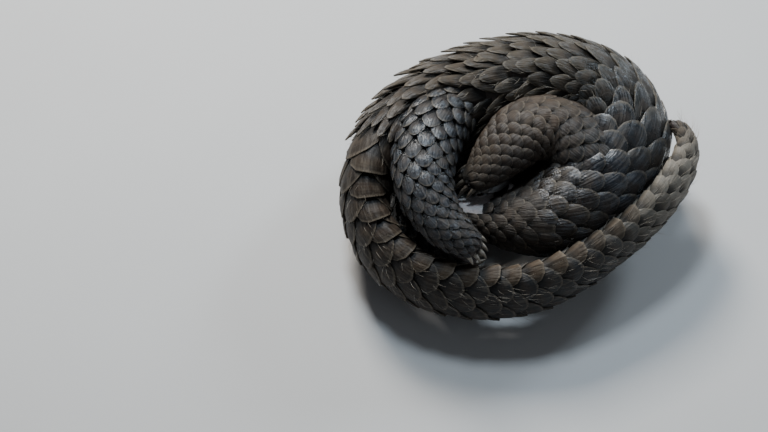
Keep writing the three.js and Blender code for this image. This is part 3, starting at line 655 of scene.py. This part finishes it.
def lay_scales(line, coat, others, rng):
    """Corner places of a coat's scales on one line, and the distance, column, tone and root of each."""
    half = coat.columns // 2
    places = []
    for s, ring in ring_tips(line, coat.start, coat.end, coat.ring):
        columns = range(-half, half + (0 if coat.closed else 1))
        places += [(s, column) for column in columns if (column + ring) % 2 == 0]
    tip, column = np.array(places, float).T
    cut = sections(line, tip)
    spread = column_share(coat, cut)
    crown = on_skin(sections(line, tip - cut.pitch), column * spread, np.zeros(len(tip)))
    hidden = coat.bare(tip, column * spread)
    for other in others:
        hidden |= inside(other, crown, HIDDEN_MARGIN)
    tip, column, spread, pitch, lift = (
        values[~hidden] for values in (tip, column, spread, cut.pitch, cut.lift)
    )

    # How each scale differs from the plain one.
    count = len(tip)
    wild = coat.wild(tip)
    tone = rng.uniform(0, 1, count)
    lift = lift * rng.uniform(*VARY.lift, count)
    if not coat.closed:
        lift = lift * (1 - 0.3 * (column / (half + 1)) ** 2)
    turn = rng.normal(0, VARY.turn, count) + wild * rng.normal(0, WILD.turn, count)
    half_width = (PLAIN.half_width - WILD.narrower * wild) * rng.uniform(*VARY.width, count)
    tip = tip + wild * pitch * rng.uniform(-WILD.shift, WILD.shift, count)
    flare = coat.flare(tip, column) * rng.uniform(*VARY.flare, count)
    tilt = wild * rng.uniform(-WILD.tilt, WILD.tilt, count)

    # Its outline: x across in columns, y along from the root to the rim, which is rounded to a point.
    u, v = tile_u[None], tile_v[None]
    taper = PLAIN.root_width + (1 - PLAIN.root_width) * step(v, 0, 0.5)
    x = half_width[:, None] * np.sin(u * np.pi / 2) * taper
    point = coat.point + WILD.point * wild[:, None]
    y = v * (1 - coat.round + coat.round * np.maximum(np.cos(u * np.pi / 2), 0) ** point)
    x = x + turn[:, None] * y * 2
    rings = SCALE_LENGTH * coat.length(tip, column * spread)[:, None]
    long = rings * pitch[:, None]
    s = tip[:, None] - long * (1 - y)

    # Its height above the hide: the scale climbs over the ones before it, arched, domed and keeled.
    back = (1 - y) * rings
    lift = lift[:, None]
    arch = lift * coat.arch * (1 - u**2) * step(v, 0.1, 0.9)
    raised = flare[:, None] * step(y, 0.35, 1.1) ** 1.3 + tilt[:, None] * u * step(y, 0.4, 1)
    bottom = lift * (PLAIN.tip - PLAIN.fall * back) + arch + raised
    thick = np.maximum(lift * PLAIN.thick * (1 - 0.3 * step(v, 0.7, 1)), PLAIN.least)
    keel = lift * coat.keel * bump(u, 0.2) * step(v, 0.1, 0.5) * (1 - 0.5 * step(v, 0.8, 1))
    dome = lift * coat.dome * (1 - u**2) * step(v, 0.15, 0.7) * (1 - 0.75 * step(v, 0.75, 1))
    height = np.where(tile_low[None], bottom, bottom + thick + keel + dome)

    tile = sections(line, s.ravel())
    share = (column[:, None] + x).ravel() * column_share(coat, tile)
    points = above_floor(in_frame(on_skin(tile, share, height.ravel())).reshape(*s.shape, 3))
    root = sections(line, tip - long[:, 0])
    root_share = column * column_share(coat, root)
    root_map = np.stack((root.s / line.length, (root_share + 1) / 2), axis=1)
    return SimpleNamespace(points=points, tip=tip, column=column, tone=tone, root_map=root_map)


def colour_along(line, stops, s):
    """Colour by station names, as one row of three for each distance."""
    at = np.array([line.at[name] for name in stops])
    values = np.array(list(stops.values()))
    order = np.argsort(at)
    return np.stack([np.interp(s, at[order], values[order, i]) for i in range(3)], axis=1)


def bake_roots(parts, bands):
    """Each root's place on the bake map, where the parts of a piece lie in bands one above the other."""
    total = max(bands) + 1
    return np.concatenate(
        [
            part.root_map * (0.96, 0.94 / total) + (0.02, (band + 0.03) / total)
            for part, band in zip(parts, bands)
        ]
    )


def joined_copies(name, points, faces, spots, roots):
    """One piece of many copies of a small shape, each with its own patch of the bake map at its root."""
    count, corners = points.shape[:2]
    all_faces = [[corners * i + corner for corner in face] for i in range(count) for face in faces]
    mesh = bpy.data.meshes.new(name)
    mesh.from_pydata(points.reshape(-1, 3), [], all_faces)
    mesh.update()
    bake_map = np.tile(spots * PATCH, (count, 1)) + np.repeat(roots, corners, axis=0)
    corner_of = np.empty(len(mesh.loops), np.int32)
    mesh.loops.foreach_get("vertex_index", corner_of)
    mesh.uv_layers.new(name="OFBake").data.foreach_set("uv", bake_map[corner_of].ravel())
    obj = bpy.data.objects.new(name, mesh)
    bpy.context.scene.collection.objects.link(obj)
    return obj


def scale_piece(name, laid, tints, bands, wet):
    """One piece of scales, each with its tint, a lighter or darker tone of it, and its wetness, which sets
    its gloss and its painted sheen.
    """
    points = np.concatenate([part.points for part in laid])
    tone = np.concatenate([part.tone for part in laid])
    count, corners = points.shape[:2]
    spots = np.stack((tile_u / 2, tile_v - 0.5), axis=1)
    obj = joined_copies(name, points, tile_faces, spots, bake_roots(laid, bands))
    shape = np.stack((np.tile(tile_u, count), np.tile(tile_v, count), np.repeat(tone, corners)), axis=1)
    stored = obj.data.attributes
    stored.new("tile", "FLOAT_VECTOR", "POINT").data.foreach_set("vector", shape.ravel())
    tint = np.concatenate(tints) * (TONES[0] + TONES[1] * tone)[:, None]
    wetness = np.broadcast_to(np.asarray(wet, float), count)[:, None]
    colour = np.repeat(np.concatenate((tint, wetness), axis=1), corners, axis=0)
    stored.new("tint", "FLOAT_COLOR", "POINT").data.foreach_set("color", colour.ravel())
    dress(obj, horn.material)
    obj.data.set_sharp_from_angle(angle=RIM_ANGLE)
    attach(obj, "root")


# Horn: dark, with fine lines from root to rim, growth lines along the rim, a pale worn rim that is also a
# painted highlight, a browner middle, dry dust and painted shade towards the root. Where it is wet it is
# glossy, with a painted blue-grey sheen that stands in for reflections.
WORN_HORN_AND_HIGHLIGHT = (0.22, 0.18, 0.13, 1)
BROWN_HORN = (0.055, 0.029, 0.014, 1)
ROOT_SHADE = (0.001, 0.001, 0.001, 1)
GROWTH_LINE = (0.006, 0.0055, 0.006, 1)
DUST = (0.115, 0.095, 0.068, 1)
PAINTED_SHEEN = (0.1, 0.122, 0.155, 1)
horn = Nodes("horn")
tile = horn.add("ShaderNodeAttribute", attribute_name="tile").outputs["Vector"]
across, along, tone = horn.add("ShaderNodeSeparateXYZ", {"Vector": tile}).outputs
tint_and_wet = horn.add("ShaderNodeAttribute", attribute_name="tint").outputs
tint = tint_and_wet["Color"]
wet = tint_and_wet["Alpha"]
horn_place = horn.place()
sideways = horn.math("ABSOLUTE", across)
shift = horn.math("MULTIPLY", tone, 37.0)
lines_at = horn.add(
    "ShaderNodeCombineXYZ",
    {0: horn.math("MULTIPLY", across, 11.0), 1: horn.math("MULTIPLY", along, 1.6), 2: shift},
).outputs[0]
lines = horn.noise(lines_at, 1.0, 4, 0.6, 0.15)
bowed = horn.math("MULTIPLY", horn.math("POWER", sideways, 2.4), 0.35)
from_rim = horn.math("MULTIPLY", horn.math("ADD", along, bowed), 16.0)
growth_at = horn.add("ShaderNodeCombineXYZ", {0: from_rim, 1: shift}).outputs[0]
growth = horn.noise(growth_at, 1.0, 3, 0.55)
blotch = horn.noise(horn_place, 170, 4, 0.6)
fleck = horn.noise(horn_place, 1300, 3, 0.6)
mud = horn.noise(horn_place, 42, 5, 0.65)
pale = horn.mix(0.5, tint, WORN_HORN_AND_HIGHLIGHT)
brown = horn.mix(0.6, tint, BROWN_HORN)
shade = horn.mix(0.8, tint, ROOT_SHADE)
centre = horn.math("MULTIPLY", horn.range(sideways, 0.75, 0.1), horn.range(along, 1.0, 0.45))
centre = horn.math("MULTIPLY", centre, horn.range(blotch, 0.35, 0.6))
worn_rim_and_highlight = horn.math("MULTIPLY", horn.range(along, 0.9, 0.98), horn.range(fleck, 0.35, 0.6, 0.25, 1))
dust = horn.math("MULTIPLY", horn.range(mud, 0.5, 0.72), horn.range(fleck, 0.3, 0.6, 0.4, 1))
wet_here = horn.math("MULTIPLY", wet, horn.range(blotch, 0.58, 0.45, 0.15, 1))
# Painted sheen: a blue-grey film on wet horn that stands in for reflections of the sky.
painted_sheen = horn.math("MULTIPLY", wet_here, horn.range(lines, 0.42, 0.6, 0.1, 1))
painted_sheen = horn.math("MULTIPLY", painted_sheen, horn.range(along, 0.4, 0.8))
base = horn.mix(horn.math("MULTIPLY", centre, 0.75), tint, brown)
base = horn.mix(horn.range(lines, 0.45, 0.66, 0, 0.4), base, pale)
# Painted shade: each scale darkens to near black towards its root, under the scales before it.
base = horn.mix(horn.range(along, 0.75, 0.35), base, shade)
base = horn.mix(horn.range(growth, 0.5, 0.75, 0, 0.35), base, GROWTH_LINE)
# The pale rim along the free edge is partly wear and partly a painted highlight.
base = horn.mix(horn.math("MULTIPLY", worn_rim_and_highlight, 0.8), base, pale)
base = horn.mix(horn.math("MULTIPLY", dust, 0.22), base, DUST)
base = horn.mix(horn.math("MULTIPLY", painted_sheen, 0.3), base, PAINTED_SHEEN)
rough = horn.math("SUBTRACT", 0.65, horn.math("MULTIPLY", wet_here, 0.53))
rough = horn.math("ADD", rough, horn.math("MULTIPLY", dust, 0.15), clamp=True)
horn_bump = horn.bump(lines, 0.0008, 0.8)
horn_bump = horn.bump(growth, 0.00035, 0.5, horn_bump)
horn_bump = horn.bump(fleck, 0.00012, 0.5, horn_bump)
horn.set(Base_Color=base, Roughness=rough, Normal=horn_bump, Specular_IOR_Level=0.35)


def none(tip, column=None):
    """Scales that lie flat and in order."""
    return np.zeros(len(tip))


def nowhere(tip, share):
    """No bare place."""
    return np.zeros(len(tip), bool)


def whole(tip, share):
    """Scales of full length."""
    return np.ones(len(tip))


def make_coat(**own):
    """How scales lie on a line, from start to end in millimetres along it.

    The columns lie side by side, and close round the belly if closed. The first ring is odd or even. Round
    and point give the rim's outline, and arch, dome and keel its form in shares of the lift. By place, flare
    lifts the rims, wild makes scales narrow and untidy, bare leaves them out, and length makes them longer.
    """
    plain = dict(closed=False, ring=0, keel=0.0, flare=none, wild=none, bare=nowhere, length=whole)
    return SimpleNamespace(**(plain | own))


BODY_COLOURS = {
    "nose tip": (0.036, 0.025, 0.015),
    "ears": (0.018, 0.0115, 0.0065),
    "neck": (0.0125, 0.009, 0.0055),
    "shoulders": (0.0105, 0.014, 0.0195),
    "ribs": (0.021, 0.02, 0.0155),
    "loin": (0.036, 0.027, 0.0145),
    "rump": (0.034, 0.0225, 0.011),
    "tail root": (0.02, 0.0125, 0.0065),
    "tail 1": (0.015, 0.009, 0.0045),
}


def bare_cheeks(tip, share):
    """The bare sides of the face, with a wavy edge behind; the right one reaches further up."""
    edge = 38 + 5 * np.sin(17 * share)
    return ((share > 0.14) | (share < -0.3)) & (tip < edge)


def short_by_cheeks(tip, share):
    """The first scales behind the bare cheeks are short, since none lie over them."""
    return 1 - 0.42 * step(46 - tip, 0, 3) * (np.abs(share) > 0.1)


rng = np.random.default_rng(7)
head_coat = make_coat(
    columns=13, start=18, end=body.at["nape"] + 6,
    round=0.45, point=0.9, arch=0.35, dome=0.6, bare=bare_cheeks, length=short_by_cheeks,
)
head = lay_scales(body, head_coat, [], rng)
scale_piece("head_scales", [head], [colour_along(body, BODY_COLOURS, head.tip)], [0], 0.2)

# Trunk scales
# The largest plates of horn: seventeen columns over the neck and shoulders, wet, with a painted sheen, then
# twenty-five columns of narrower, more ragged and browner ones over the back and rump.


def trunk_wild(tip):
    """How narrow and out of order the scales are: not at all on the shoulders, and fully on the loin."""
    return step(tip, body.at["shoulders"] + 8, body.at["loin"])


def trunk_flare(tip, column):
    """How far the rims stand off, in millimetres: most on the rump."""
    return 0.3 + 1.5 * step(tip, body.at["ribs"], body.at["rump"])


def longer_behind(tip, share):
    """The narrow scales are longer in ring steps."""
    return 1 + 0.3 * trunk_wild(tip)


hind_lines = [limbs["hind", "right"], limbs["hind", "left"]]
fore_lines = [limbs["fore", "right"], limbs["fore", "left"]]
front_coat = make_coat(
    columns=17, start=body.at["nape"] - 4, end=body.at["chest"] + 6,
    round=0.45, point=0.95, arch=0.4, dome=0.6, flare=trunk_flare, wild=trunk_wild,
)
rear_coat = make_coat(
    columns=25, start=body.at["chest"] + 3, end=body.at["tail root"] + 6, ring=1,
    round=0.5, point=1.0, arch=0.4, dome=0.3, flare=trunk_flare, wild=trunk_wild, length=longer_behind,
)
front = lay_scales(body, front_coat, hind_lines + fore_lines, rng)
rear = lay_scales(body, rear_coat, hind_lines + fore_lines, rng)
trunk_tips = np.concatenate((front.tip, rear.tip))
trunk_tints = [colour_along(body, BODY_COLOURS, part.tip) for part in (front, rear)]
trunk_wet = 0.9 - 0.4 * step(trunk_tips, body.at["chest"], body.at["haunch"])
scale_piece("trunk_scales", [front, rear], trunk_tints, [0, 0], trunk_wet)

# Tail scales
# Broad plates of horn all round the flat tail, dark, with a brown column along its upper edge, and worn pale
# near its tip. Those along both edges stand off a little more.
TAIL_COLOURS = {
    "tail root": (0.02, 0.0125, 0.0065),
    "tail 1": (0.014, 0.0088, 0.0048),
    "tail 3": (0.013, 0.0088, 0.0055),
    "tail 5": (0.013, 0.0132, 0.0135),
    "tail 7": (0.026, 0.0265, 0.027),
    "tail 8": (0.082, 0.075, 0.062),
    "tail 9": (0.2, 0.178, 0.145),
    "tail 10": (0.18, 0.155, 0.122),
    "tail tip": (0.06, 0.043, 0.029),
}
TAIL_MARGIN = np.array((0.058, 0.035, 0.015))


def tail_flare(tip, column):
    """How far the rims stand off, in millimetres: most along the edges, and not at all at the tip."""
    return np.where(np.abs(column) == 2, 0.9, 0.35) * step(body.length - tip, 0, 80)


tail_coat = make_coat(
    columns=8, closed=True, start=body.at["tail root"] + 0.6, end=body.length - 0.3, ring=1,
    round=0.72, point=1.1, arch=0.2, dome=0.25, keel=0.15, flare=tail_flare,
)
tail = lay_scales(body, tail_coat, [], rng)
tail_tint = colour_along(body, TAIL_COLOURS, tail.tip)
margin = (tail.column == 2) * 0.6 * step(tail.tip, body.at["tail 2"], body.at["tail 4"])
margin = (margin * step(body.at["tail 9"] - tail.tip, 0, 40))[:, None]
tail_tint = tail_tint * (1 - margin) + TAIL_MARGIN * margin
scale_piece("tail_scales", [tail], [tail_tint], [0], 0.12)

# Hind leg scales
# Small, rounded, keeled plates of horn, wet, with a painted sheen, from the hip down to the toes.
HIND_COLOURS = {
    "hip": (0.03, 0.024, 0.017),
    "knee": (0.015, 0.018, 0.022),
    "toes": (0.02, 0.02, 0.021),
}


def leg_scales(name, lines, coat_of, colours, wet):
    """Scales of the right and left legs as one piece, each leg with its own band of the bake map."""
    laid = [lay_scales(line, coat_of(line), [body], rng) for line in lines]
    tints = [colour_along(line, colours, part.tip) for line, part in zip(lines, laid)]
    scale_piece(name, laid, tints, [0, 1], wet)


def hind_coat(line):
    """Scales from inside the haunch to over the roots of the claws."""
    return make_coat(
        columns=15, start=18, end=line.length + 1.5, round=0.6, point=1.5, arch=0.35, dome=0.3, keel=0.4
    )


leg_scales("hind_leg_scales", hind_lines, hind_coat, HIND_COLOURS, 1.0)

# Foreleg scales
# Broader plates of horn without a keel. The line starts at the toes, so their free rims point to the elbow.
FORE_COLOURS = {
    "toes": (0.018, 0.012, 0.007),
    "lower arm": (0.019, 0.0115, 0.0062),
    "elbow": (0.028, 0.0165, 0.0082),
    "upper arm": (0.014, 0.0138, 0.0128),
}


def fore_coat(line):
    """Scales from the toes to the shoulder."""
    return make_coat(
        columns=15, start=3, end=line.length - 4, ring=1, round=0.42, point=1.0, arch=0.4, dome=0.6
    )


leg_scales("foreleg_scales", fore_lines, fore_coat, FORE_COLOURS, 0.3)

# Claws
# Five hard claws on each foot, rooted in the toes: long brown digging claws on the forefeet and short pale
# ones on the hind feet.
CLAW = {
    "hind": SimpleNamespace(length=7.5, radius=1.7, curl=0.9, inset=4, pale=1.0),
    "fore": SimpleNamespace(length=13, radius=1.8, curl=0.8, inset=4, pale=0.2),
}
CLAW_SHARES = (0.55, 0.85, 1, 0.9, 0.6)  # lengths as shares of the third claw's
CLAW_TAPER = 0.86  # how much of the radius is gone at the tip
CLAW_HIGH = 1.2
CLAW_WIDE = 0.9
CLAW_HOLLOW = 0.3  # of its underside
CLAW_FAN = 0.12  # how much each claw turns from the one beside it
CLAW_ROOT_UP = 0.6
CLAW_ROOT_AHEAD = 1.2
CLAW_ROOT_BACK = 0.8  # how much further back each claw is than the one beside it, towards the foot's sides
CLAW_SIDES = 14
CLAW_RINGS = 16
LIGHT_CLAW = ((0.10, 0.075, 0.05, 1), (0.42, 0.38, 0.32, 1))  # of the brown and of the pale claws
DARK_CLAW = ((0.03, 0.022, 0.015, 1), (0.2, 0.165, 0.125, 1))

claw_horn = Nodes("claw_horn")
streak = claw_horn.noise(claw_horn.place((1.0, 4.0, 4.0)), 260, 4, 0.6)
grain = claw_horn.noise(claw_horn.place(), 1500, 3)
is_pale = claw_horn.add("ShaderNodeAttribute", attribute_name="pale").outputs["Fac"]
light = claw_horn.mix(is_pale, *LIGHT_CLAW)
dark = claw_horn.mix(is_pale, *DARK_CLAW)
claw_bump = claw_horn.bump(streak, 0.0004, 0.5)
claw_bump = claw_horn.bump(grain, 0.0001, 0.5, claw_bump)
claw_horn.set(
    Base_Color=claw_horn.mix(claw_horn.range(streak, 0.4, 0.65), light, dark),
    Roughness=claw_horn.range(grain, 0.3, 0.7, 0.28, 0.42),
    Normal=claw_bump,
    Coat_Weight=0.1,
)


def claw_tube(claw, portion, root, forward, sole):
    """One claw that curls towards the sole, narrows to its tip and is hollow underneath."""
    across = unit(np.cross(forward, sole))
    length = claw.length * portion + claw.inset
    radius = claw.radius * (0.72 + 0.28 * portion)
    t = np.linspace(0, 1, CLAW_RINGS)
    angle = claw.curl * t
    bow = length / claw.curl
    ahead_bit = forward * (bow * np.sin(angle))[:, None]
    down_bit = sole * (bow * (1 - np.cos(angle)))[:, None]
    centre = root + ahead_bit + down_bit
    outward = -sole * np.cos(angle)[:, None] + forward * np.sin(angle)[:, None]
    thick = radius * (1 - CLAW_TAPER * t**1.7)
    around = np.arange(CLAW_SIDES) * 2 * np.pi / CLAW_SIDES
    hollow = 1 - CLAW_HOLLOW * bump(np.cos(around) + 1, 0.35)
    high = CLAW_HIGH * np.cos(around) * hollow
    wide = CLAW_WIDE * np.sin(around)
    return tube(
        centre[:, None]
        + outward[:, None] * (thick[:, None] * high)[..., None]
        + across * (thick[:, None] * wide)[..., None]
    )


for (kind, side), line in limbs.items():
    claw = CLAW[kind]
    way = 1 if kind == "hind" else -1
    toes = sections(line, line.length if kind == "hind" else 0)
    ahead = toes.along[0] * way
    joined = bmesh.new()
    for i, portion in enumerate(CLAW_SHARES):
        place = i - 2
        root = (
            toes.centre[0]
            + toes.across[0] * place * TOE_PITCH * way
            + ahead * (CLAW_ROOT_AHEAD - claw.inset - abs(place) * CLAW_ROOT_BACK)
            + toes.out[0] * CLAW_ROOT_UP
        )
        forward = unit(ahead + toes.across[0] * place * CLAW_FAN * way)
        one = claw_tube(claw, portion, root, forward, -toes.out[0])
        mesh = bpy.data.meshes.new("claw")
        one.to_mesh(mesh)
        one.free()
        joined.from_mesh(mesh)
        bpy.data.meshes.remove(mesh)
    claws = piece_from(f"claws_{kind}_{side}", joined)
    dress(claws, claw_horn.material)
    claw_pale = np.full(len(claws.data.vertices), claw.pale)
    claws.data.attributes.new("pale", "FLOAT", "POINT").data.foreach_set("value", claw_pale)
    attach(claws, "root")
    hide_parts(*[f"claw_{kind}_{side}_{i}" for i in range(1, 6)])

# Eyes
# Small wet brown-black eyes, each a ball set in its lids.
CORNEA_START = 0.8  # share of the radius where the clear front of the eye starts to bulge
CORNEA_BULGE = 0.35
EYE_BROWN = ((0.012, 0.007, 0.005, 1), (0.03, 0.016, 0.009, 1))
eye_wet = Nodes("wet_eye")
iris = eye_wet.range(eye_wet.noise(eye_wet.place(), 900, 2), 0.4, 0.6)
eye_wet.set(
    Base_Color=eye_wet.mix(iris, *EYE_BROWN),
    Roughness=0.06,
    Coat_Weight=1.0,
    Coat_Roughness=0.02,
)


def skin_frame(s, share, height):
    """A place on the head: its x runs towards the tail, and its z out of the skin."""
    cut = sections(body, s)
    at, above = (on_skin(cut, np.array([share]), np.array([height + more]))[0] for more in (0.0, 1.0))
    outward = unit(above - at)
    along = unit(cut.along[0] - outward * cut.along[0].dot(outward))
    across = np.cross(outward, along)
    columns = np.stack((along, across, outward, at + ORIGIN), axis=1)
    return Matrix.Scale(MM, 4) @ Matrix([*columns.tolist(), (0, 0, 0, 1)])


for side, sign in (("right", 1), ("left", -1)):
    bm = bmesh.new()
    bmesh.ops.create_uvsphere(bm, u_segments=32, v_segments=20, radius=EYE.radius)
    for v in bm.verts:
        v.co.z += CORNEA_BULGE * max(v.co.z - CORNEA_START * EYE.radius, 0)
    bmesh.ops.transform(bm, matrix=skin_frame(EYE.s, sign * EYE.share, -EYE.depth), verts=bm.verts)
    eye = piece_from(f"eyeball_{side}", bm)
    dress(eye, eye_wet.material)
    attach(eye, "root")
    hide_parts(f"eye_{side}")

# Ears
# Low, thick, bare folds of skin behind the ear holes, open towards the face.
EAR_SIZE = (3.5, 5.0, 3.0)
EAR_WALL = 0.8
EAR_LEAN = 0.35
EAR_CUT = (-0.6, 0, 0.6)  # where the fold is cut open
EAR_FACING = Vector((-1, 0, 0.85)).normalized()  # which way the opening faces
EAR_PALE = 0.7

for side, sign in (("right", 1), ("left", -1)):
    bm = bmesh.new()
    bmesh.ops.create_uvsphere(bm, u_segments=28, v_segments=18, radius=1)
    bmesh.ops.scale(bm, verts=bm.verts, vec=EAR_SIZE)
    geometry = bm.verts[:] + bm.edges[:] + bm.faces[:]
    bmesh.ops.bisect_plane(bm, geom=geometry, plane_co=EAR_CUT, plane_no=EAR_FACING, clear_outer=True)
    bmesh.ops.rotate(bm, verts=bm.verts, matrix=Matrix.Rotation(-EAR_LEAN, 3, "Y"))
    bmesh.ops.transform(bm, matrix=skin_frame(EAR.s, sign * EAR.share, 0.2), verts=bm.verts)
    bmesh.ops.recalc_face_normals(bm, faces=bm.faces)
    ear = piece_from(f"ear_fold_{side}", bm)
    wall = ear.modifiers.new("wall", "SOLIDIFY")
    wall.thickness = EAR_WALL * MM
    wall.offset = -1
    smooth = ear.modifiers.new("smooth", "SUBSURF")
    smooth.levels = smooth.render_levels = 1
    apply_modifiers(ear)
    dress(ear, hide.material)
    ear_pale = np.full(len(ear.data.vertices), EAR_PALE)
    ear.data.attributes.new("face", "FLOAT", "POINT").data.foreach_set("value", ear_pale)
    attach(ear, "root")
    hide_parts(f"ear_{side}")

# Stiff hairs
# Pale bristles that stand out between the scales of the trunk and tail, and sparse thin hairs on the bare
# cheeks, throat and belly. Each is a three-sided spike.
HAIR_REACH = 2 * MM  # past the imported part's box
HAIR_COLOURS = ((0.25, 0.21, 0.16, 1), (0.5, 0.45, 0.38, 1))
SPIKE_RINGS = ((0.5, 0.7), (1.0, 0.15))  # height and radius, as shares of the length and the root's radius
bristle_hair = Nodes("bristle_hair")
hair_tone = bristle_hair.noise(bristle_hair.place(), 700, 2)
bristle_hair.set(Base_Color=bristle_hair.mix(hair_tone, *HAIR_COLOURS), Roughness=0.45)


def spike_template():
    """One upright three-sided spike with closed ends: its corners and its faces."""
    bm = bmesh.new()
    ring = bmesh.ops.create_circle(bm, segments=3, radius=1)["verts"]
    for z, radius in SPIKE_RINGS:
        ring = extrude_ring(bm, ring)
        for i, v in enumerate(ring):
            v.co = (radius * np.cos(i * 2 * np.pi / 3), radius * np.sin(i * 2 * np.pi / 3), z)
    bmesh.ops.edgeloop_fill(bm, edges=[e for e in bm.edges if e.is_boundary and e.verts[0].co.z > 0.9])
    bmesh.ops.edgeloop_fill(bm, edges=[e for e in bm.edges if e.is_boundary])
    bmesh.ops.recalc_face_normals(bm, faces=bm.faces)
    bm.verts.index_update()
    corners = np.array([v.co for v in bm.verts])
    faces = [[v.index for v in face.verts] for face in bm.faces]
    bm.free()
    return corners, faces


spike, spike_faces = spike_template()


def hairs(line, s, share, height, length, width, lean, rng):
    """Bent spikes on a line, leaning towards larger distances by the slope lean."""
    cut = sections(line, s)
    at = on_skin(cut, share, height)
    outward = unit(on_skin(cut, share, height + 1) - at)
    count = len(s)
    aside = np.cross(outward, cut.along)
    lie = unit(cut.along * lean[:, None] + outward + aside * rng.normal(0, 0.6, count)[:, None])
    first = unit(np.cross(lie, outward + 0.01))
    second = np.cross(lie, first)
    x, y, z = spike.T
    bend = (cut.along * 0.25 - outward * 0.12)[:, None] * (length[:, None] * z**2)[..., None]
    points = (
        at[:, None]
        + lie[:, None] * (length[:, None] * z)[..., None]
        + first[:, None] * (width[:, None] * x)[..., None]
        + second[:, None] * (width[:, None] * y)[..., None]
        + bend
    )
    root_map = np.stack((cut.s / line.length, (share + 1) / 2), axis=1)
    return SimpleNamespace(points=above_floor(in_frame(points)), root_map=root_map)


def hair_piece(name, parts, bands):
    """One piece of hairs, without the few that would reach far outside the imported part's box."""
    points = np.concatenate([part.points for part in parts])
    low = np.array(cad_box[0]) - HAIR_REACH
    high = np.array(cad_box[1]) + HAIR_REACH
    kept = ((points > low) & (points < high)).all(axis=(1, 2))
    spots = np.stack((spike[:, 0] / 2, spike[:, 2] - 0.5), axis=1)
    obj = joined_copies(name, points[kept], spike_faces, spots, bake_roots(parts, bands)[kept])
    obj.data.materials.append(bristle_hair.material)
    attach(obj, "root")


def everywhere(share):
    """Where bristles grow on the trunk, as a share of those that are tried."""
    return np.ones(len(share))


def on_the_back(share):
    """Where bristles grow on the tail: thickest on its outer side."""
    return 0.15 + 0.85 * step(0.62 - np.abs(share), 0, 0.3)


def between_scales(line, part, coat, each, low, high, where_grown, rng):
    """Bristles that come out beside the tips of the scales of a coat."""
    pick = np.repeat(np.arange(len(part.tip)), each)
    count = len(pick)
    s = part.tip[pick] - rng.uniform(1.5, 5, count)
    cut = sections(line, s)
    share = (part.column[pick] + rng.uniform(-0.9, 0.9, count)) * column_share(coat, cut)
    keep = rng.uniform(0, 1, count) < where_grown(share)
    s, share, count = s[keep], share[keep], int(keep.sum())
    cut = sections(line, s)
    length = rng.uniform(low, high, count)
    width = rng.uniform(0.06, 0.1, count)
    lean = rng.uniform(0.3, 1.6, count)
    return hairs(line, s, share, 0.4 * cut.lift, length, width, lean, rng)


front_hairs = between_scales(body, front, front_coat, 2, 3, 7, everywhere, rng)
rear_hairs = between_scales(body, rear, rear_coat, 2, 4, 8, everywhere, rng)
tail_hairs = between_scales(body, tail, tail_coat, 5, 4, 9, on_the_back, rng)
hair_piece("bristles", [front_hairs, rear_hairs, tail_hairs], [0, 0, 1])

BELLY_HAIRS = 1500
belly_s = rng.uniform(20, body.at["tail root"], BELLY_HAIRS)
cover = sections(body, belly_s).cover
belly_share = cover + (1 - cover) * rng.uniform(0.02, 1, BELLY_HAIRS)
belly_share = belly_share * rng.choice((-1, 1), BELLY_HAIRS)
length = rng.uniform(2.0, 4.5, BELLY_HAIRS)
height, width, lean = (np.full(BELLY_HAIRS, value) for value in (-0.2, 0.05, 1.8))
belly_hairs = hairs(body, belly_s, belly_share, height, length, width, lean, rng)
hair_piece("belly_hairs", [belly_hairs], [0])

# Floor and light
# A plain pale floor under a soft studio: a warm key lamp behind and above, a bluish lamp high up that wet
# horn mirrors, a weaker one behind on the right and a faint one in front.
FLOOR_SIZE = 3
FLOOR_TONES = ((0.50, 0.49, 0.475, 1), (0.55, 0.54, 0.525, 1))
floor_paint = Nodes("floor_paint")
floor_grain = floor_paint.noise(floor_paint.place(), 9, 4)
floor_paint.set(Base_Color=floor_paint.mix(floor_grain, *FLOOR_TONES), Roughness=0.75)
bm = bmesh.new()
bmesh.ops.create_grid(bm, x_segments=1, y_segments=1, size=FLOOR_SIZE)
floor = piece_from("floor", bm)
floor.data.materials.append(floor_paint.material)

WARM = (1.0, 0.97, 0.92)
BLUE = (0.72, 0.86, 1.0)
SKY = (0.85, 0.9, 1.0, 1)
SKY_STRENGTH = 0.1
LAMPS_FACE = Vector((0, 0, 0.04))
# Each lamp's place, size, power and colour.
LAMPS = {
    "key": ((-0.3, 0.75, 0.8), 0.3, 18, WARM),
    "fill": ((0.8, -0.5, 0.7), 0.7, 0.8, BLUE),
    "rim": ((0.6, 0.6, 0.6), 0.2, 4.5, BLUE),
    "glint": ((-0.16, 0.36, 0.92), 0.16, 6, BLUE),
}
for name, (place, size, power, colour) in LAMPS.items():
    lamp_data = bpy.data.lights.new(name, "AREA")
    lamp_data.energy = power
    lamp_data.color = colour
    lamp_data.size = size
    lamp = bpy.data.objects.new(name, lamp_data)
    lamp.location = place
    lamp.rotation_euler = (LAMPS_FACE - Vector(place)).to_track_quat("-Z", "Y").to_euler()
    bpy.context.scene.collection.objects.link(lamp)
world = bpy.data.worlds.new("studio")
world.use_nodes = True
world.node_tree.nodes["Background"].inputs["Color"].default_value = SKY
world.node_tree.nodes["Background"].inputs["Strength"].default_value = SKY_STRENGTH
bpy.context.scene.world = world
